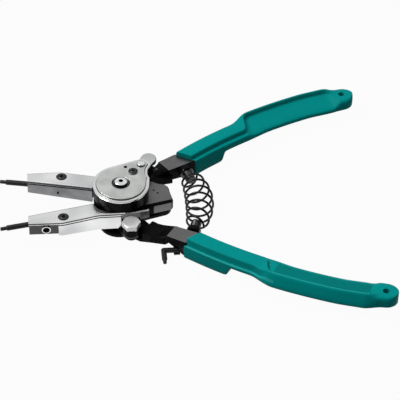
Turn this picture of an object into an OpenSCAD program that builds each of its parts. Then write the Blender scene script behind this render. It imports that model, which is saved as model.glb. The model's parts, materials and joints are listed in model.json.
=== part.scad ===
// Circlip pliers with a locking pawl, lying flat, jaws towards -X, handles towards +X.
// The origin is on the central pivot axis, in the plane the tool lies on. +Z is up.

/* [Linkage] */
// Forward offset of each jaw pin from the central pivot
jaw_pin_x = 5; // [4:0.5:6]
// Sideways offset of each jaw pin from the central pivot
jaw_pin_y = 23; // [22:0.5:24]
// Degrees each jaw turns about its pin when the handles close
jaw_close = 14; // [10:1:14]
// Degrees each handle turns about the central pivot when it closes
handle_close = 21; // [15:3:21]
// Radius of the central pivot bolt
bolt_r = 3.5; // [3:0.1:4]
// Radius of each jaw pin
jaw_pin_r = 2.4; // [2:0.1:2.6]
// Radius of the drive pin that carries a handle's motion to its jaw
drive_pin_r = 1.75; // [1.5:0.05:2]
// Radial clearance of a hole that turns on its own pin
run_fit = 0.05; // [0.03:0.01:0.08]
// Clearance between parts that pass each other
slip_gap = 0.35; // [0.3:0.05:0.4]

/* [Layers] */
// Thickness of the carrier plate between the two handle heads
base_t = 2.4; // [2:0.1:2.6]
// Thickness of each handle head and jaw tail
plate_t = 2.6; // [2.4:0.1:2.8]
// Gap between two layers of the stack
layer_gap = 0.3; // [0.2:0.05:0.35]

/* [Hub] */
// Radius of the black hub under the cover
hub_r = 16.9; // [16:0.1:17.1]
// Radius of the hub's lower column between the jaws
column_r = 12.3; // [11.5:0.1:12.4]
// Height of the hub's top face
hub_top = 24; // [23:0.5:26]
// Radius of the bright cover plate
cover_r = 17.2; // [17.1:0.1:17.6]
// Thickness of the cover plate
cover_t = 1.3; // [1:0.1:1.6]
// Radius of the raised cap on the cover plate
cap_r = 15; // [14:0.1:15.6]
// Thickness of the raised cap
cap_t = 0.9; // [0.7:0.1:1.2]
// Length of the rear block behind the pivot
block_x = 31; // [29:0.5:33]
// Half width of the rear block beside the pivot
block_y = 13; // [12:0.5:13]
// Height of the rear block's top face
block_top = 16.3; // [15.5:0.1:16.8]

/* [Thumb lever] */
// Forward position of the thumb lever's pin
lever_x = 13.3; // [13:0.1:14]
// Sideways position of the thumb lever's pin
lever_y = 16.9; // [16.5:0.1:17.2]
// Radius of the thumb lever's pin
lever_pin_r = 2; // [1.6:0.1:2.2]
// Degrees the lever turns from released to locked
lever_swing = 22; // [22:1:24]
// Degrees between two ratchet teeth
tooth_pitch = 3.5; // [3.5:0.1:3.5]

/* [Jaws] */
// Distance from the pivot axis to the front of the jaws
jaw_front = 56.5; // [50:0.5:64]
// Height of the jaws' top face
jaw_top = 17; // [16.5:0.1:17]
// Wall thickness of the bright jaw shell
shell_t = 1.4; // [1:0.1:1.6]
// Inner edge of a jaw at its front, measured from the centre line
jaw_front_in = 15.6; // [15.6:0.1:17]
// Width of a jaw at its front
jaw_front_w = 8.2; // [8:0.1:9]

/* [Tips] */
// Radius of the tip's shank
tip_r = 1.65; // [1.4:0.05:1.8]
// Radius of the tip's nose
nose_r = 1.15; // [0.7:0.05:1.3]
// Length of shank in front of the jaw
tip_out = 12.6; // [10:0.5:20]
// Length of the nose
nose_l = 3.8; // [3:0.1:6]
// Degrees the tips lean outwards
tip_lean = 11; // [9:1:12]

/* [Handles] */
// Distance from the pivot to the grips' ends, along the tool
grip_end_x = 154.5; // [150:0.5:158]
// Distance from the centre line to the grips' ends
grip_end_y = 94.6; // [92:0.2:97]
// Underside of the handle neck
neck_z = 4.4; // [4.2:0.1:4.8]
// Thickness of the handle neck
neck_t = 8; // [7:0.5:8.5]
// Height of the grip's flat top at its front part
grip_t = 15.6; // [15.2:0.1:16]
// Height of the grip's underside behind its deep front part
grip_bottom = 7; // [6.6:0.1:7.4]
// Outer half width of the grip at its front part
grip_front_w = 6.8; // [6.4:0.1:7.2]
// Outer half width of the grip at its widest
grip_w = 11.2; // [10.4:0.1:11.6]
// Inner half width of the grip at its front part
grip_inner_w = 8; // [7.6:0.1:8.4]
// Height of the raised outer rim of the grip
rim_top = 17; // [16.4:0.1:17.4]
// Radius of the round end that carries the hang hole
hang_end_r = 7.4; // [6.8:0.1:7.8]
// Radius of the hang hole through each grip
hang_r = 2; // [1.5:0.1:2.5]

/* [Return spring] */
// Radius of the spring's middle coil, to the wire's centre
spring_r = 8.3; // [7:0.1:8.3]
// Radius of the spring's end coils, to the wire's centre
spring_end_r = 5.4; // [5.3:0.1:5.8]
// Radius of the spring wire
wire_r = 0.65; // [0.5:0.05:0.7]
// Number of turns of the spring
spring_turns = 7; // [6:1:9]

/* [Hidden] */
$fn = 48;
eps = 0.01;
// Longer than anything it cuts.
wide = 60;
jaw_pin = [jaw_pin_x, jaw_pin_y];
pin_dist = norm(jaw_pin);
pin_angle = atan2(jaw_pin_y, jaw_pin_x);
drive_r = pin_dist * jaw_close / (jaw_close + handle_close);
drive_angle = pin_angle + handle_close / 2;
drive_pin = drive_r * [cos(drive_angle), sin(drive_angle)];
tail_vec = drive_pin - jaw_pin;
tail_len = norm(tail_vec);
tail_angle = atan2(tail_vec[1], tail_vec[0]);
lever_pin = [lever_x, lever_y];

// The near handle's head lies at the bottom, then the carrier plate, the far head and the jaw tails.
base_z = plate_t + layer_gap;
level_2 = base_z + base_t + layer_gap;
level_3 = level_2 + plate_t + layer_gap;
tail_top = level_3 + plate_t;
nut_z = tail_top + layer_gap;
nut_h = 3.6;
nut_flats = 10;
far_nut_flats = 9;
cover_top = hub_top + cover_t;
cap_top = cover_top + cap_t;
flange_z = jaw_top + layer_gap;
cap_z = block_top - 1.6;

eye_r = 7.2;
lobe_r = 12.2;
lobe_at = [-1.5, 8.3];
carrier_r = 13;
ear_tip_r = 3.9;
jaw_eye_r = 5.4;
eye_ease = 0.4;
tail_half = 3.9;
boss_r = 3.5;
arm_end = [15.5, 18.5];
arm_end_r = 4.5;
post_x = 25;
post_eye_r = 5.6;
post_peg_r = 2.4;
block_front = 9;
cap_inset = 0.6;
dimples = [[20.2, 3.3], [22.4, 0.6]];
dimple_r = 0.7;
dimple_depth = 0.5;
hub_foot_r = 4.9;
ear_root = [8, 10];
ear_r = 4.4;
ear_t = 2;
cover_screw_at = [8, 10];
cover_screw_l = 6;
vent_at = [3.6, 14.6];
vent_r = 1.1;
// Heads and recesses of the screws and pins.
screw_r = 1.5;
screw_hex = 2.6;
cover_head_r = 2.9;
cover_head_h = 0.9;
bolt_head_r = 4.1;
bolt_head_h = 1.6;
bolt_hex = 3.4;
washer_r = 5.2;
lever_head_r = 2.7;
lever_head_h = 1.2;
pin_sunk = 0.4;
bolt_head_z = cap_top - 0.2;
arm_r = 5.7;
arm_step = 1.7;
arm_hollow = [28, 9.5];
arm_hollow_r = 11.3;

ring_in_r = 29.6;
ring_out_r = ring_in_r + 2.4;
tooth_root_r = ring_in_r - 0.3;
tooth_tip_r = tooth_root_r - 1.7;
ring_start = 41;
// The ring passes the pawl by half the handles' travel, and reaches past the nose at both ends.
ring_travel = 21;
ring_angle = ring_travel + 6;
first_tip = ring_start + 1;
tooth_tips = floor(ring_travel / tooth_pitch) + 2;
ring_edge = 0.5;
ring_foot_at = 52;
ring_foot_z = 13.7;
ring_z = 15.3;
ring_top = 18.3;
waist_z = ring_top + 0.2;
lever_z = hub_top - 2.4;
lever_t = 2.1;
pawl_r = 4.1;
pawl_neck_r = 2.9;
nose_z = ring_z + 0.1;
pawl_foot_z = nut_z + ear_t + layer_gap;
pad_at = lever_pin + polar(10, 59);
pad_r = 4.8;
pad_drop = 1;
spring_leg_r = 3.65;
spring_leg_wire_r = 0.25;

shell_front_z = jaw_top - 8.8;
shell_rear_z = level_2 + 0.1;
roof_t = 1.5;
roof_z = jaw_top - roof_t;
jaw_knee_x = -36;
jaw_knee_y = 24;
jaw_waist_x = -14.5;
jaw_waist_y = 18.5;
jaw_rear_x = 1.5;
// The near jaw's rear tongue: centre line, top and bottom.
tongue = [[-5, 15.5], [7.7, 15.5], [16.3, 13.5]];
tongue_t = 1.2;
tongue_z = 9.4;
jaw_inner_x = -17.3;
jaw_inner_y = 6.8;
keep_r = column_r + slip_gap + 0.15;
tip_z = 12.2;
tip_root = [-jaw_front + 16, 15.6];
tip_seat = 17;
bar_front = 0.3 - jaw_front;
bar_rear = -14.2;
window_x = -38.6;
side_screw_x = -46;
side_screw_r = 1.3;
side_hole_at = [-37.6, 0, 10.3];
side_hole_r = 1.1;
top_screw = [-35.5, 18.6];
top_screw_r = 3;

neck_inner = [31, 25.5];
neck_outer = [24.8, 34.6];
grip_start = [39.3, 36.2];
grip_bend = [grip_end_x - 67.2, grip_end_y - 19.4];
grip_end = [grip_end_x, grip_end_y];
neck_rise = 3.4;
neck_setback = 0.15;
tang_w = 4.6;
tang_z = grip_bottom + 1.3;
tang_t = 2.8;
tang_start = -0.02;
tang_end = 0.8;
// Where along the grip its skirt ends, its palm panel starts, it is widest and its hang hole lies.
skirt_end = 0.24;
skirt_slope = 0.012;
panel_start = 0.42;
panel_end = 0.91;
hang_at = 0.955;
grip_tab_z = 15.1;
ledge_z = neck_z + neck_t;
rake = 0.05;
spring_z = 9;
spring_foot = [43.5, 23.5];
spring_bow = 4.5;
seat_r = 4.4;
stud_r = 3.6;
seat_root = spring_foot + [-1.9, 6.2];
seat_dir = unit(spring_foot - seat_root);
stow_z = 2.6;
stow_corner = [23.6, -36.5];
stow_leg = 12;
stow_drop = 8;
clip_x = 31.5;
clip_y = -34.8;
clip_t = 0.6;
clip_screw_at = [clip_x, -31.8];
clip_screw_r = 1.25;
clip_screw_l = 3;
clip_half = 2;
clip_foot = 6.2;
clip_lip = 4.1;

black = [0.09, 0.09, 0.1];
forged = [0.16, 0.16, 0.17];
chrome = [0.82, 0.83, 0.84];
steel = [0.68, 0.69, 0.7];
teal = [0, 0.5, 0.48];

function unit(v) = v / norm(v);
function polar(r, a) = r * [cos(a), sin(a)];
function turn(p, c, a) = c + [
    (p - c)[0] * cos(a) - (p - c)[1] * sin(a),
    (p - c)[0] * sin(a) + (p - c)[1] * cos(a)
];
// Point, direction and half width along the grip's curved centre line, t from 0 to 1.
function grip_at(t) = (1 - t) * (1 - t) * grip_start + 2 * t * (1 - t) * grip_bend + t * t * grip_end;
function grip_dir(t) = unit((1 - t) * (grip_bend - grip_start) + t * (grip_end - grip_bend));
function grip_side(t) = [-grip_dir(t)[1], grip_dir(t)[0]];
grip_speed = 2 * norm((1 - hang_at) * (grip_bend - grip_start) + hang_at * (grip_end - grip_bend));
grip_tab_span = hang_end_r / grip_speed;
function smooth(s) = s * s * (3 - 2 * s);
// Rises smoothly from 0 to 1 while t goes from a to b.
function ramp(t, a, b) = smooth(min(1, max(0, (t - a) / (b - a))));

// Two circles and the straight flanks that touch both.
module link(p, rp, q, rq) {
    d = norm(q - p);
    a = atan2((q - p)[1], (q - p)[0]);
    b = acos((rp - rq) / d);
    translate(p) circle(r = rp);
    translate(q) circle(r = rq);
    polygon([
        p + polar(rp, a + b),
        p + polar(rp, a - b),
        q + polar(rq, a - b),
        q + polar(rq, a + b)
    ]);
}

// A flat plate from height z, thickness t, of the 2-D shape given.
module plate(z, t) {
    translate([0, 0, z]) linear_extrude(height = t) children();
}

module rod(p, z0, z1, r) {
    translate([p[0], p[1], z0]) cylinder(h = z1 - z0, r = r);
}

module hex(p, z0, z1, flats) {
    translate([p[0], p[1], z0]) cylinder(h = z1 - z0, r = flats / 2 / cos(30), $fn = 6);
}

module near() {
    mirror([0, 1, 0]) children();
}

// A round wire through the points, with a normal given at each point.
module wire(pts, normals, r, sides = 6) {
    n = len(pts);
    tang = [for (i = [0:n - 1]) unit(pts[min(i + 1, n - 1)] - pts[max(i - 1, 0)])];
    side = [for (i = [0:n - 1]) unit(cross(tang[i], normals[i]))];
    up = [for (i = [0:n - 1]) cross(side[i], tang[i])];
    ring = [
        for (i = [0:n - 1])
            for (j = [0:sides - 1])
                pts[i] + r * (cos(360 * j / sides) * up[i] + sin(360 * j / sides) * side[i])
    ];
    walls = [
        for (i = [0:n - 2])
            for (j = [0:sides - 1])
                let (a = i * sides + j, b = i * sides + (j + 1) % sides)
                    each [[a, b, a + sides], [b, b + sides, a + sides]]
    ];
    first = [for (j = [sides - 1:-1:0]) j];
    last = [for (j = [0:sides - 1]) (n - 1) * sides + j];
    polyhedron(points = ring, faces = concat([first], walls, [last]));
}

// Carrier: base plate, post, rear block, hub and cover

// The carrier plate turns between the two handle heads, and the near drive pin passes through its slot.
module base_plate() {
    color(black)
        plate(base_z, base_t)
            difference() {
                union() {
                    link([0, 0], carrier_r, [post_x, 0], post_eye_r);
                    for (s = [-1, 1])
                        link([0, 0], carrier_r, [jaw_pin_x, s * jaw_pin_y], ear_tip_r);
                }
                circle(r = bolt_r);
                translate([post_x, 0]) circle(r = post_peg_r);
                for (s = [-1, 1])
                    translate([jaw_pin_x, s * jaw_pin_y]) circle(r = jaw_pin_r);
                near()
                    arc_band(drive_r, drive_pin_r + slip_gap, pin_angle - handle_close / 2, handle_close);
            }
}

module rear_post() {
    color(black) {
        plate(base_z + base_t, level_3 - base_z - base_t)
            polygon([
                [post_x - 4.4, -5], [post_x - 2, -6.4], [post_x + 3.6, -6.4], [post_x + 5.2, -4.6],
                [post_x + 4.4, 4], [post_x + 2.4, 6.2], [post_x - 2, 6.2], [post_x - 4.4, 5]
            ]);
        rod([post_x, 0], base_z, base_z + base_t + 0.1, post_peg_r);
    }
}

// The block's outline; grow moves its walls outwards.
module block_outline(grow) {
    polygon([
        [block_front, 1.4 - block_y - grow], [block_x - 0.4, -6 - grow], [block_x + grow, -4.6],
        [block_x - 1.4 + grow, 2.1], [block_x - 2 + grow, 6.4 + grow], [block_x - 4 + grow, 8.4 + grow],
        [block_x - 8.3, 9.6 + grow], [block_x - 11.4, block_y - 1.2 + grow],
        [block_front, block_y - 1.2 + grow]
    ]);
}

// The hub's ear, which reaches out to the thumb lever's pin.
module ear_outline() {
    link(ear_root, ear_r + 0.1, lever_pin, ear_r);
}

module rear_block() {
    color(black)
        difference() {
            plate(level_3, cap_z - level_3) block_outline(cap_inset);
            rod([0, 0], level_3 - eps, cap_z + eps, column_r);
            plate(nut_z, ear_t) ear_outline();
        }
}

module rear_cap() {
    color(forged)
        difference() {
            plate(cap_z, block_top - cap_z) block_outline(0);
            rod([0, 0], cap_z - eps, block_top + eps, column_r);
            for (p = dimples)
                rod(p, block_top - dimple_depth, block_top + eps, dimple_r);
        }
}

module hub() {
    color(black)
        difference() {
            union() {
                rod([0, 0], level_3, nut_z + eps, hub_foot_r);
                rod([0, 0], nut_z, flange_z + eps, column_r);
                rod([0, 0], flange_z, hub_top, hub_r);
                plate(nut_z, ear_t) ear_outline();
            }
            rod([0, 0], level_3 - eps, hub_top + eps, bolt_r);
            rod(lever_pin, nut_z - eps, nut_z + ear_t + eps, lever_pin_r);
            rod(cover_screw_at, hub_top - cover_screw_l, hub_top + eps, screw_r);
        }
}

module cover_plate() {
    color(chrome)
        difference() {
            plate(hub_top, cover_t)
                difference() {
                    link([0, 0], cover_r, lever_pin, arm_r);
                    translate(arm_hollow) circle(r = arm_hollow_r);
                }
            rod([0, 0], hub_top - eps, cover_top + eps, bolt_r);
            rod(lever_pin, hub_top - eps, cover_top + eps, lever_pin_r);
            rod(cover_screw_at, hub_top - eps, cover_top + eps, screw_r);
            rod(vent_at, hub_top - eps, cover_top + eps, vent_r);
        }
}

module cover_cap() {
    color(chrome)
        difference() {
            plate(cover_top, cap_t)
                difference() {
                    link([0, 0], cap_r, lever_pin, arm_r - arm_step);
                    translate(arm_hollow) circle(r = arm_hollow_r + arm_step);
                }
            rod([0, 0], cover_top - eps, cap_top + eps, washer_r + 0.3);
            rod(lever_pin, cover_top - eps, cap_top + eps, lever_pin_r);
            rod(cover_screw_at, cover_top - eps, cap_top + eps, screw_r);
            rod(vent_at, cover_top - eps, cap_top + eps, vent_r);
        }
}

module bolt_washer() {
    color(steel)
        difference() {
            rod([0, 0], cover_top, bolt_head_z, washer_r);
            rod([0, 0], cover_top - eps, cap_top + eps, bolt_r);
        }
}

module pivot_bolt() {
    color(steel)
        difference() {
            union() {
                rod([0, 0], 0, bolt_head_z + eps, bolt_r);
                rod([0, 0], bolt_head_z, cap_top + bolt_head_h, bolt_head_r);
            }
            hex([0, 0], cap_top - 0.6, cap_top + bolt_head_h + eps, bolt_hex);
        }
}

module cover_screw() {
    color(black)
        difference() {
            union() {
                rod(cover_screw_at, hub_top - cover_screw_l, cap_top + eps, screw_r);
                rod(cover_screw_at, cap_top, cap_top + cover_head_h, cover_head_r);
            }
            hex(cover_screw_at, cap_top - 0.4, cap_top + cover_head_h + eps, screw_hex);
        }
}

module jaw_pin_far() {
    color(steel) rod(jaw_pin, base_z, nut_z + nut_h - pin_sunk, jaw_pin_r);
}

module near_jaw_pin() {
    near() jaw_pin_far();
}

module far_jaw_pin() {
    jaw_pin_far();
}

module jaw_nut(flats) {
    color(chrome)
        difference() {
            hex(jaw_pin, nut_z, nut_z + nut_h, flats);
            rod(jaw_pin, nut_z - eps, nut_z + nut_h + eps, jaw_pin_r);
        }
}

module near_jaw_nut() {
    near() jaw_nut(nut_flats);
}

module far_jaw_nut() {
    jaw_nut(far_nut_flats);
}

module pawl_pin() {
    color(steel) {
        rod(lever_pin, nut_z, cap_top + eps, lever_pin_r);
        rod(lever_pin, cap_top, cap_top + lever_head_h, lever_head_r);
    }
}

// Thumb lever with its pawl, drawn released; it locks by turning lever_swing degrees

module pawl() {
    nose = [
        polar(tooth_tip_r + 0.3, first_tip + 2.2),
        polar(tooth_tip_r - 0.5, first_tip + 4.1),
        polar(tooth_tip_r - 2.6, first_tip + 6.4),
        polar(22.6, 60),
        polar(20.6, 44),
        polar(tooth_tip_r - 1.6, first_tip - 1)
    ];
    color(forged)
        difference() {
            union() {
                rod(lever_pin, pawl_foot_z, waist_z + eps, pawl_r);
                rod(lever_pin, waist_z, lever_z, pawl_neck_r);
                plate(nose_z, ring_top - nose_z)
                    polygon([for (p = nose) turn(p, lever_pin, -lever_swing)]);
            }
            rod(lever_pin, pawl_foot_z - eps, lever_z + eps, lever_pin_r + run_fit);
        }
}

module thumb_lever() {
    color(chrome)
        difference() {
            union() {
                plate(lever_z, lever_t) link(lever_pin, pawl_r, pad_at, pad_r);
                plate(lever_z - pad_drop, pad_drop + eps) translate(pad_at) circle(r = pad_r);
            }
            rod(lever_pin, lever_z - eps, lever_z + lever_t + eps, lever_pin_r + run_fit);
        }
}

module pawl_spring() {
    turns = 3;
    steps = 12 * turns;
    a0 = 150;
    z0 = waist_z + 0.5;
    rise = 2;
    coil = [
        for (i = [0:steps])
            let (a = a0 + 360 * turns * i / steps)
                [lever_x + spring_leg_r * cos(a), lever_y + spring_leg_r * sin(a), z0 + rise * i / steps]
    ];
    out = [
        for (i = [0:steps])
            let (a = a0 + 360 * turns * i / steps)
                [cos(a), sin(a), 0]
    ];
    color(steel) wire(coil, out, spring_leg_wire_r);
}

// Handles, drawn for the +Y side

module tang_outline() {
    n = 10;
    ts = [for (i = [0:n]) tang_start + tang_end * i / n];
    polygon(concat(
        [for (t = ts) grip_at(t) + tang_w * grip_side(t)],
        [for (i = [n:-1:0]) grip_at(ts[i]) - tang_w * grip_side(ts[i])]
    ));
}

// The neck ends just short of the grip's raked front face.
module neck_outline(front_corner) {
    polygon([
        neck_inner,
        front_corner,
        grip_at(0) + (grip_front_w - 0.5) * grip_side(0) - neck_setback * grip_dir(0),
        grip_at(rake) - (grip_inner_w - 0.8) * grip_side(rake) - neck_setback * grip_dir(rake)
    ]);
}

// The flat foot of a handle, which the tool lies on.
module foot_outline() {
    polygon([
        [12.9, 15], [15.7, 18.6], [18.2, 22], [21.8, 24.7], [25.1, 26.2],
        [16, 26.4], [10, 25], [7.3, 22.9], [4.3, 20.2], [6, 15]
    ]);
}

module shoulder_outline() {
    polygon([
        [12.5, 14.6], [16, 18.4], [18.5, 21.8], [22, 24.4], [32.2, 26.6], [24.9, 31.6],
        [16, 29.2], [11.4, 25.8], [10.6, 19]
    ]);
}

// Band of the given half width along a circle about the pivot, from angle a over the span s.
module arc_band(r, half, a, s) {
    intersection() {
        difference() {
            circle(r = r + half);
            circle(r = r - half);
        }
        polygon([[0, 0], polar(2 * r, a), polar(2 * r, a + s)]);
    }
    translate(polar(r, a)) circle(r = half + 0.03);
    translate(polar(r, a + s)) circle(r = half + 0.03);
}

// One handle: head at the level given, with the extra outline given, foot, shoulder, neck and tang.
module handle(level) {
    difference() {
        union() {
            plate(level, plate_t)
                difference() {
                    union() {
                        link([0, 0], eye_r, arm_end, arm_end_r);
                        translate(drive_pin) circle(r = boss_r);
                        children();
                    }
                    circle(r = bolt_r + run_fit);
                    translate(drive_pin) circle(r = drive_pin_r);
                }
            plate(0, plate_t) foot_outline();
            plate(plate_t - 0.1, level_2 + 0.1) shoulder_outline();
            hull() {
                plate(neck_z, 0.5) neck_outline([26.5, 31.5]);
                plate(neck_z + neck_rise, neck_t - neck_rise) neck_outline(neck_outer);
            }
            plate(tang_z, tang_t) tang_outline();
            hull() {
                plate(neck_z + neck_rise, neck_t - neck_rise - 0.2)
                    polygon([
                        neck_inner + [0.3, 0.6], neck_outer + [0.6, -0.2],
                        neck_outer + [1.8, 0.6], neck_inner + [1.5, 1.4]
                    ]);
                plate(neck_z + 0.5, level_2 + plate_t - neck_z - 0.9)
                    polygon([[22.9, 25.2], [18.4, 29.8], [24.4, 31.4], [30.5, 26]]);
            }
        }
        rod(jaw_pin, plate_t, level_3, jaw_eye_r + slip_gap + eye_ease);
    }
}

module near_forging() {
    color(forged)
        difference() {
            near() handle(0) translate(lobe_at) circle(r = lobe_r);
            rod(clip_screw_at, neck_z - 1, neck_z + clip_screw_l, clip_screw_r);
        }
}

// Arc wall around the central pivot, cut by a wedge from angle a over the span s.
module arc_wall(a, s) {
    intersection() {
        difference() {
            circle(r = ring_out_r);
            circle(r = ring_in_r);
        }
        polygon([[0, 0], polar(2 * ring_out_r, a), polar(2 * ring_out_r, a + s)]);
    }
}

// Saw teeth that let the handles close and stop them from opening
module ratchet_teeth() {
    tips = [for (i = [0:tooth_tips - 1]) first_tip + i * tooth_pitch];
    teeth = [for (a = tips) each [polar(tooth_tip_r, a), polar(tooth_root_r, a)]];
    back = [for (i = [tooth_tips - 1:-1:0]) polar(ring_in_r + 0.6, tips[i])];
    polygon(concat(
        [polar(tooth_tip_r + 0.5, ring_start)],
        teeth,
        back,
        [polar(ring_in_r + 0.6, ring_start)]
    ));
}

module far_forging() {
    start = ring_start - ring_edge;
    span = ring_angle + 3 * ring_edge;
    color(forged) {
        handle(level_2);
        plate(plate_t, ring_foot_z - plate_t) arc_wall(ring_foot_at, start + span - ring_foot_at);
        plate(ring_foot_z, ring_z - ring_foot_z) arc_wall(start, span);
        plate(ring_z, ring_top - ring_z) {
            arc_wall(start, span);
            ratchet_teeth();
        }
    }
}

module near_drive_pin() {
    color(steel) near() rod(drive_pin, 0, tail_top - 0.1, drive_pin_r);
}

module far_drive_pin() {
    color(steel) rod(drive_pin, level_2, tail_top - 0.1, drive_pin_r);
}

// Half widths of the grip on its outer and inner side, and the height of its underside.
tab_mid = grip_inner_w - hang_end_r;
function tab_cut(t) = sqrt(max(0.004, 1 - pow(max(0, t - hang_at) / grip_tab_span, 2)));
function grip_out(t) = t > hang_at ? hang_end_r * tab_cut(t) - tab_mid :
    grip_front_w + (grip_w - grip_front_w) * ramp(t, 0.35, 0.47) - 0.7 * ramp(t, 0.75, 0.87)
    - (grip_w - 0.7 - hang_end_r + tab_mid) * ramp(t, 0.87, hang_at);
function grip_in(t) = t > hang_at ? hang_end_r * tab_cut(t) + tab_mid :
    grip_inner_w - ramp(t, 0.4, 0.55) + ramp(t, 0.75, 0.88);
function grip_low(t) = grip_bottom * ramp(t, skirt_end - skirt_slope, skirt_end + skirt_slope);

// Cross-sections as [sideways, height], outer edge first, over the top and down the inner side.
function front_section(a, b, z) = [
    [a - 0.8, z], [a, z + 0.8], [a, 9.9], [a - 0.9, 10.4], [a - 1.3, grip_t - 0.9],
    [a - 2, grip_t], [-3.9, grip_t], [-4.6, grip_t - 0.6], [-5, ledge_z], [1 - b, ledge_z + 0.1],
    [-b, ledge_z - 0.8], [-b, z + 0.8], [0.8 - b, z]
];
function panel_section(a, b, z) = [
    [a - 1.2, z], [a, z + 1.2], [a - 0.3, 10.6], [a - 1.2, 13.4], [a - 2.8, rim_top - 0.8],
    [a - 3.9, rim_top], [a - 4.6, rim_top - 0.1], [a - 5.1, rim_top - 1], [a - 5.6, 12.2],
    [1.2 - b, 12.9], [-b, 11.9], [-b, z + 1], [1 - b, z]
];
function tab_section(a, b, z) =
    let (m = (a - b) / 2, h = (a + b) / 2, top = grip_tab_z)
        [
            [m + 0.9 * h, z], [m + h, z + 1.2], [m + h, 11], [m + 0.98 * h, 13],
            [m + 0.9 * h, top - 0.5], [m + 0.75 * h, top], [m + 0.5 * h, top], [m + 0.2 * h, top],
            [m - 0.3 * h, top], [m - 0.75 * h, top], [m - h, top - 1.2], [m - h, z + 1.2],
            [m - 0.9 * h, z]
        ];
function blend(p, q, s) = [for (i = [0:len(p) - 1]) p[i] * (1 - s) + q[i] * s];
function grip_section(t) =
    let (a = grip_out(t), b = grip_in(t), z = grip_low(t))
        blend(
            blend(
                front_section(a, b, z),
                panel_section(a, b, z),
                ramp(t, panel_start - 0.025, panel_start + 0.02)
            ),
            tab_section(a, b, z),
            ramp(t, panel_end - 0.015, panel_end + 0.015)
        );

// Grip body lofted along the curved centre line; its front face is raked, its inner side further back.
module grip() {
    n = 34;
    m = 8;
    foot = [for (i = [-2:2]) skirt_end + i * skirt_slope / 2];
    ts = concat(
        [for (i = [0:9]) foot[0] * i / 10],
        foot,
        [for (i = [1:n]) foot[4] + (hang_at - foot[4]) * i / n],
        [for (i = [1:m]) hang_at + grip_tab_span * sin(90 * i / m)]
    );
    k = 13;
    ring = [
        for (t = ts)
            let (a = grip_out(t), b = grip_in(t), lag = rake * (1 - ramp(t, 0, 3 * rake)))
                for (q = grip_section(t))
                    let (
                        w = t + lag * (a - q[0]) / (a + b),
                        p = grip_at(w) + q[0] * grip_side(w)
                    )
                        [p[0], p[1], q[1]]
    ];
    last = len(ts) - 1;
    walls = [
        for (i = [0:last - 1])
            for (j = [0:k - 1])
                let (a = i * k + j, b = i * k + (j + 1) % k)
                    each [[a, b, a + k], [b, b + k, a + k]]
    ];
    front = [for (j = [k - 1:-1:0]) j];
    rear = [for (j = [0:k - 1]) last * k + j];
    color(teal)
        difference() {
            polyhedron(points = ring, faces = concat([front], walls, [rear]));
            plate(tang_z, tang_t) tang_outline();
            rod(grip_at(hang_at), -1, rim_top + 1, hang_r);
        }
}

module near_grip() {
    near() grip();
}

module far_grip() {
    grip();
}

// Spring seats and the barrel-shaped return spring between them

module spring_seat() {
    a = atan2(seat_dir[1], seat_dir[0]);
    color(black)
        translate([seat_root[0], seat_root[1], spring_z])
            rotate([0, 0, a])
                rotate([0, 90, 0]) {
                    cylinder(h = norm(spring_foot - seat_root), r = seat_r);
                    cylinder(h = norm(spring_foot - seat_root) + 4.5, r = stud_r);
                }
}

module near_spring_seat() {
    near() spring_seat();
}

module far_spring_seat() {
    spring_seat();
}

module return_spring() {
    steps = 20 * spring_turns;
    span = 2 * spring_foot[1] - 2 * wire_r;
    coil = [
        for (i = [0:steps])
            let (
                u = 2 * i / steps - 1,
                a = 360 * spring_turns * i / steps,
                r = spring_end_r + (spring_r - spring_end_r) * (1 - u * u),
                x = spring_foot[0] + spring_bow * (1 - u * u),
                lean = atan2(-4 * spring_bow * u, span)
            )
                [
                    x + r * cos(a) * cos(lean),
                    span / 2 * u - r * cos(a) * sin(lean),
                    spring_z + r * sin(a)
                ]
    ];
    out = [
        for (i = [0:steps])
            let (
                u = 2 * i / steps - 1,
                a = 360 * spring_turns * i / steps,
                lean = atan2(-4 * spring_bow * u, span)
            )
                [cos(a) * cos(lean), -cos(a) * sin(lean), sin(a)]
    ];
    color(black) wire(coil, out, wire_r);
}

// Spare bent tip stowed under the neck of the near handle

module stowed_tip() {
    color(black)
        translate([stow_corner[0], stow_corner[1], stow_z]) {
            rotate([0, 90, 0]) cylinder(h = stow_leg, r = tip_r);
            sphere(r = tip_r);
            rotate([90, 0, 0]) cylinder(h = stow_drop, r = tip_r);
            rotate([90, 0, 0]) cylinder(h = stow_drop + 3, r = nose_r);
        }
}

// Sheet clip whose lip carries the stowed tip's long leg against the neck's underside.
module stowage_clip() {
    half = clip_half;
    lip_z = stow_z - tip_r - run_fit - clip_t;
    color(steel)
        difference() {
            union() {
                translate([clip_x - half, clip_y, neck_z - clip_t]) cube([2 * half, clip_foot, clip_t]);
                translate([clip_x - half, clip_y, lip_z]) cube([2 * half, clip_t, neck_z - lip_z]);
                translate([clip_x - half, clip_y - clip_lip, lip_z]) cube([2 * half, clip_lip + 0.1, clip_t]);
            }
            rod(clip_screw_at, neck_z - clip_t - eps, neck_z + eps, clip_screw_r);
        }
}

module clip_screw() {
    head_z = neck_z - clip_t;
    color(black) {
        rod(clip_screw_at, head_z - 1, head_z, clip_half);
        rod(clip_screw_at, head_z - 0.5, neck_z + clip_screw_l, clip_screw_r);
    }
}

// Jaws, drawn for the +Y side

function jaw_plan(inset) = [
    [-jaw_front, jaw_front_in + inset],
    [jaw_inner_x, jaw_inner_y + inset],
    [0, 3],
    [8, 3],
    [8, jaw_waist_y - 0.5 - inset],
    [jaw_waist_x, jaw_waist_y - inset],
    [jaw_knee_x, jaw_knee_y - inset],
    [-jaw_front, jaw_front_in + jaw_front_w - inset]
];

// Space swept by the hub's column as the jaw turns on its pin.
module column_sweep(z0, z1) {
    for (a = [0, jaw_close / 2, jaw_close])
        rod(turn([0, 0], jaw_pin, -a), z0, z1, keep_r);
}

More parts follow.
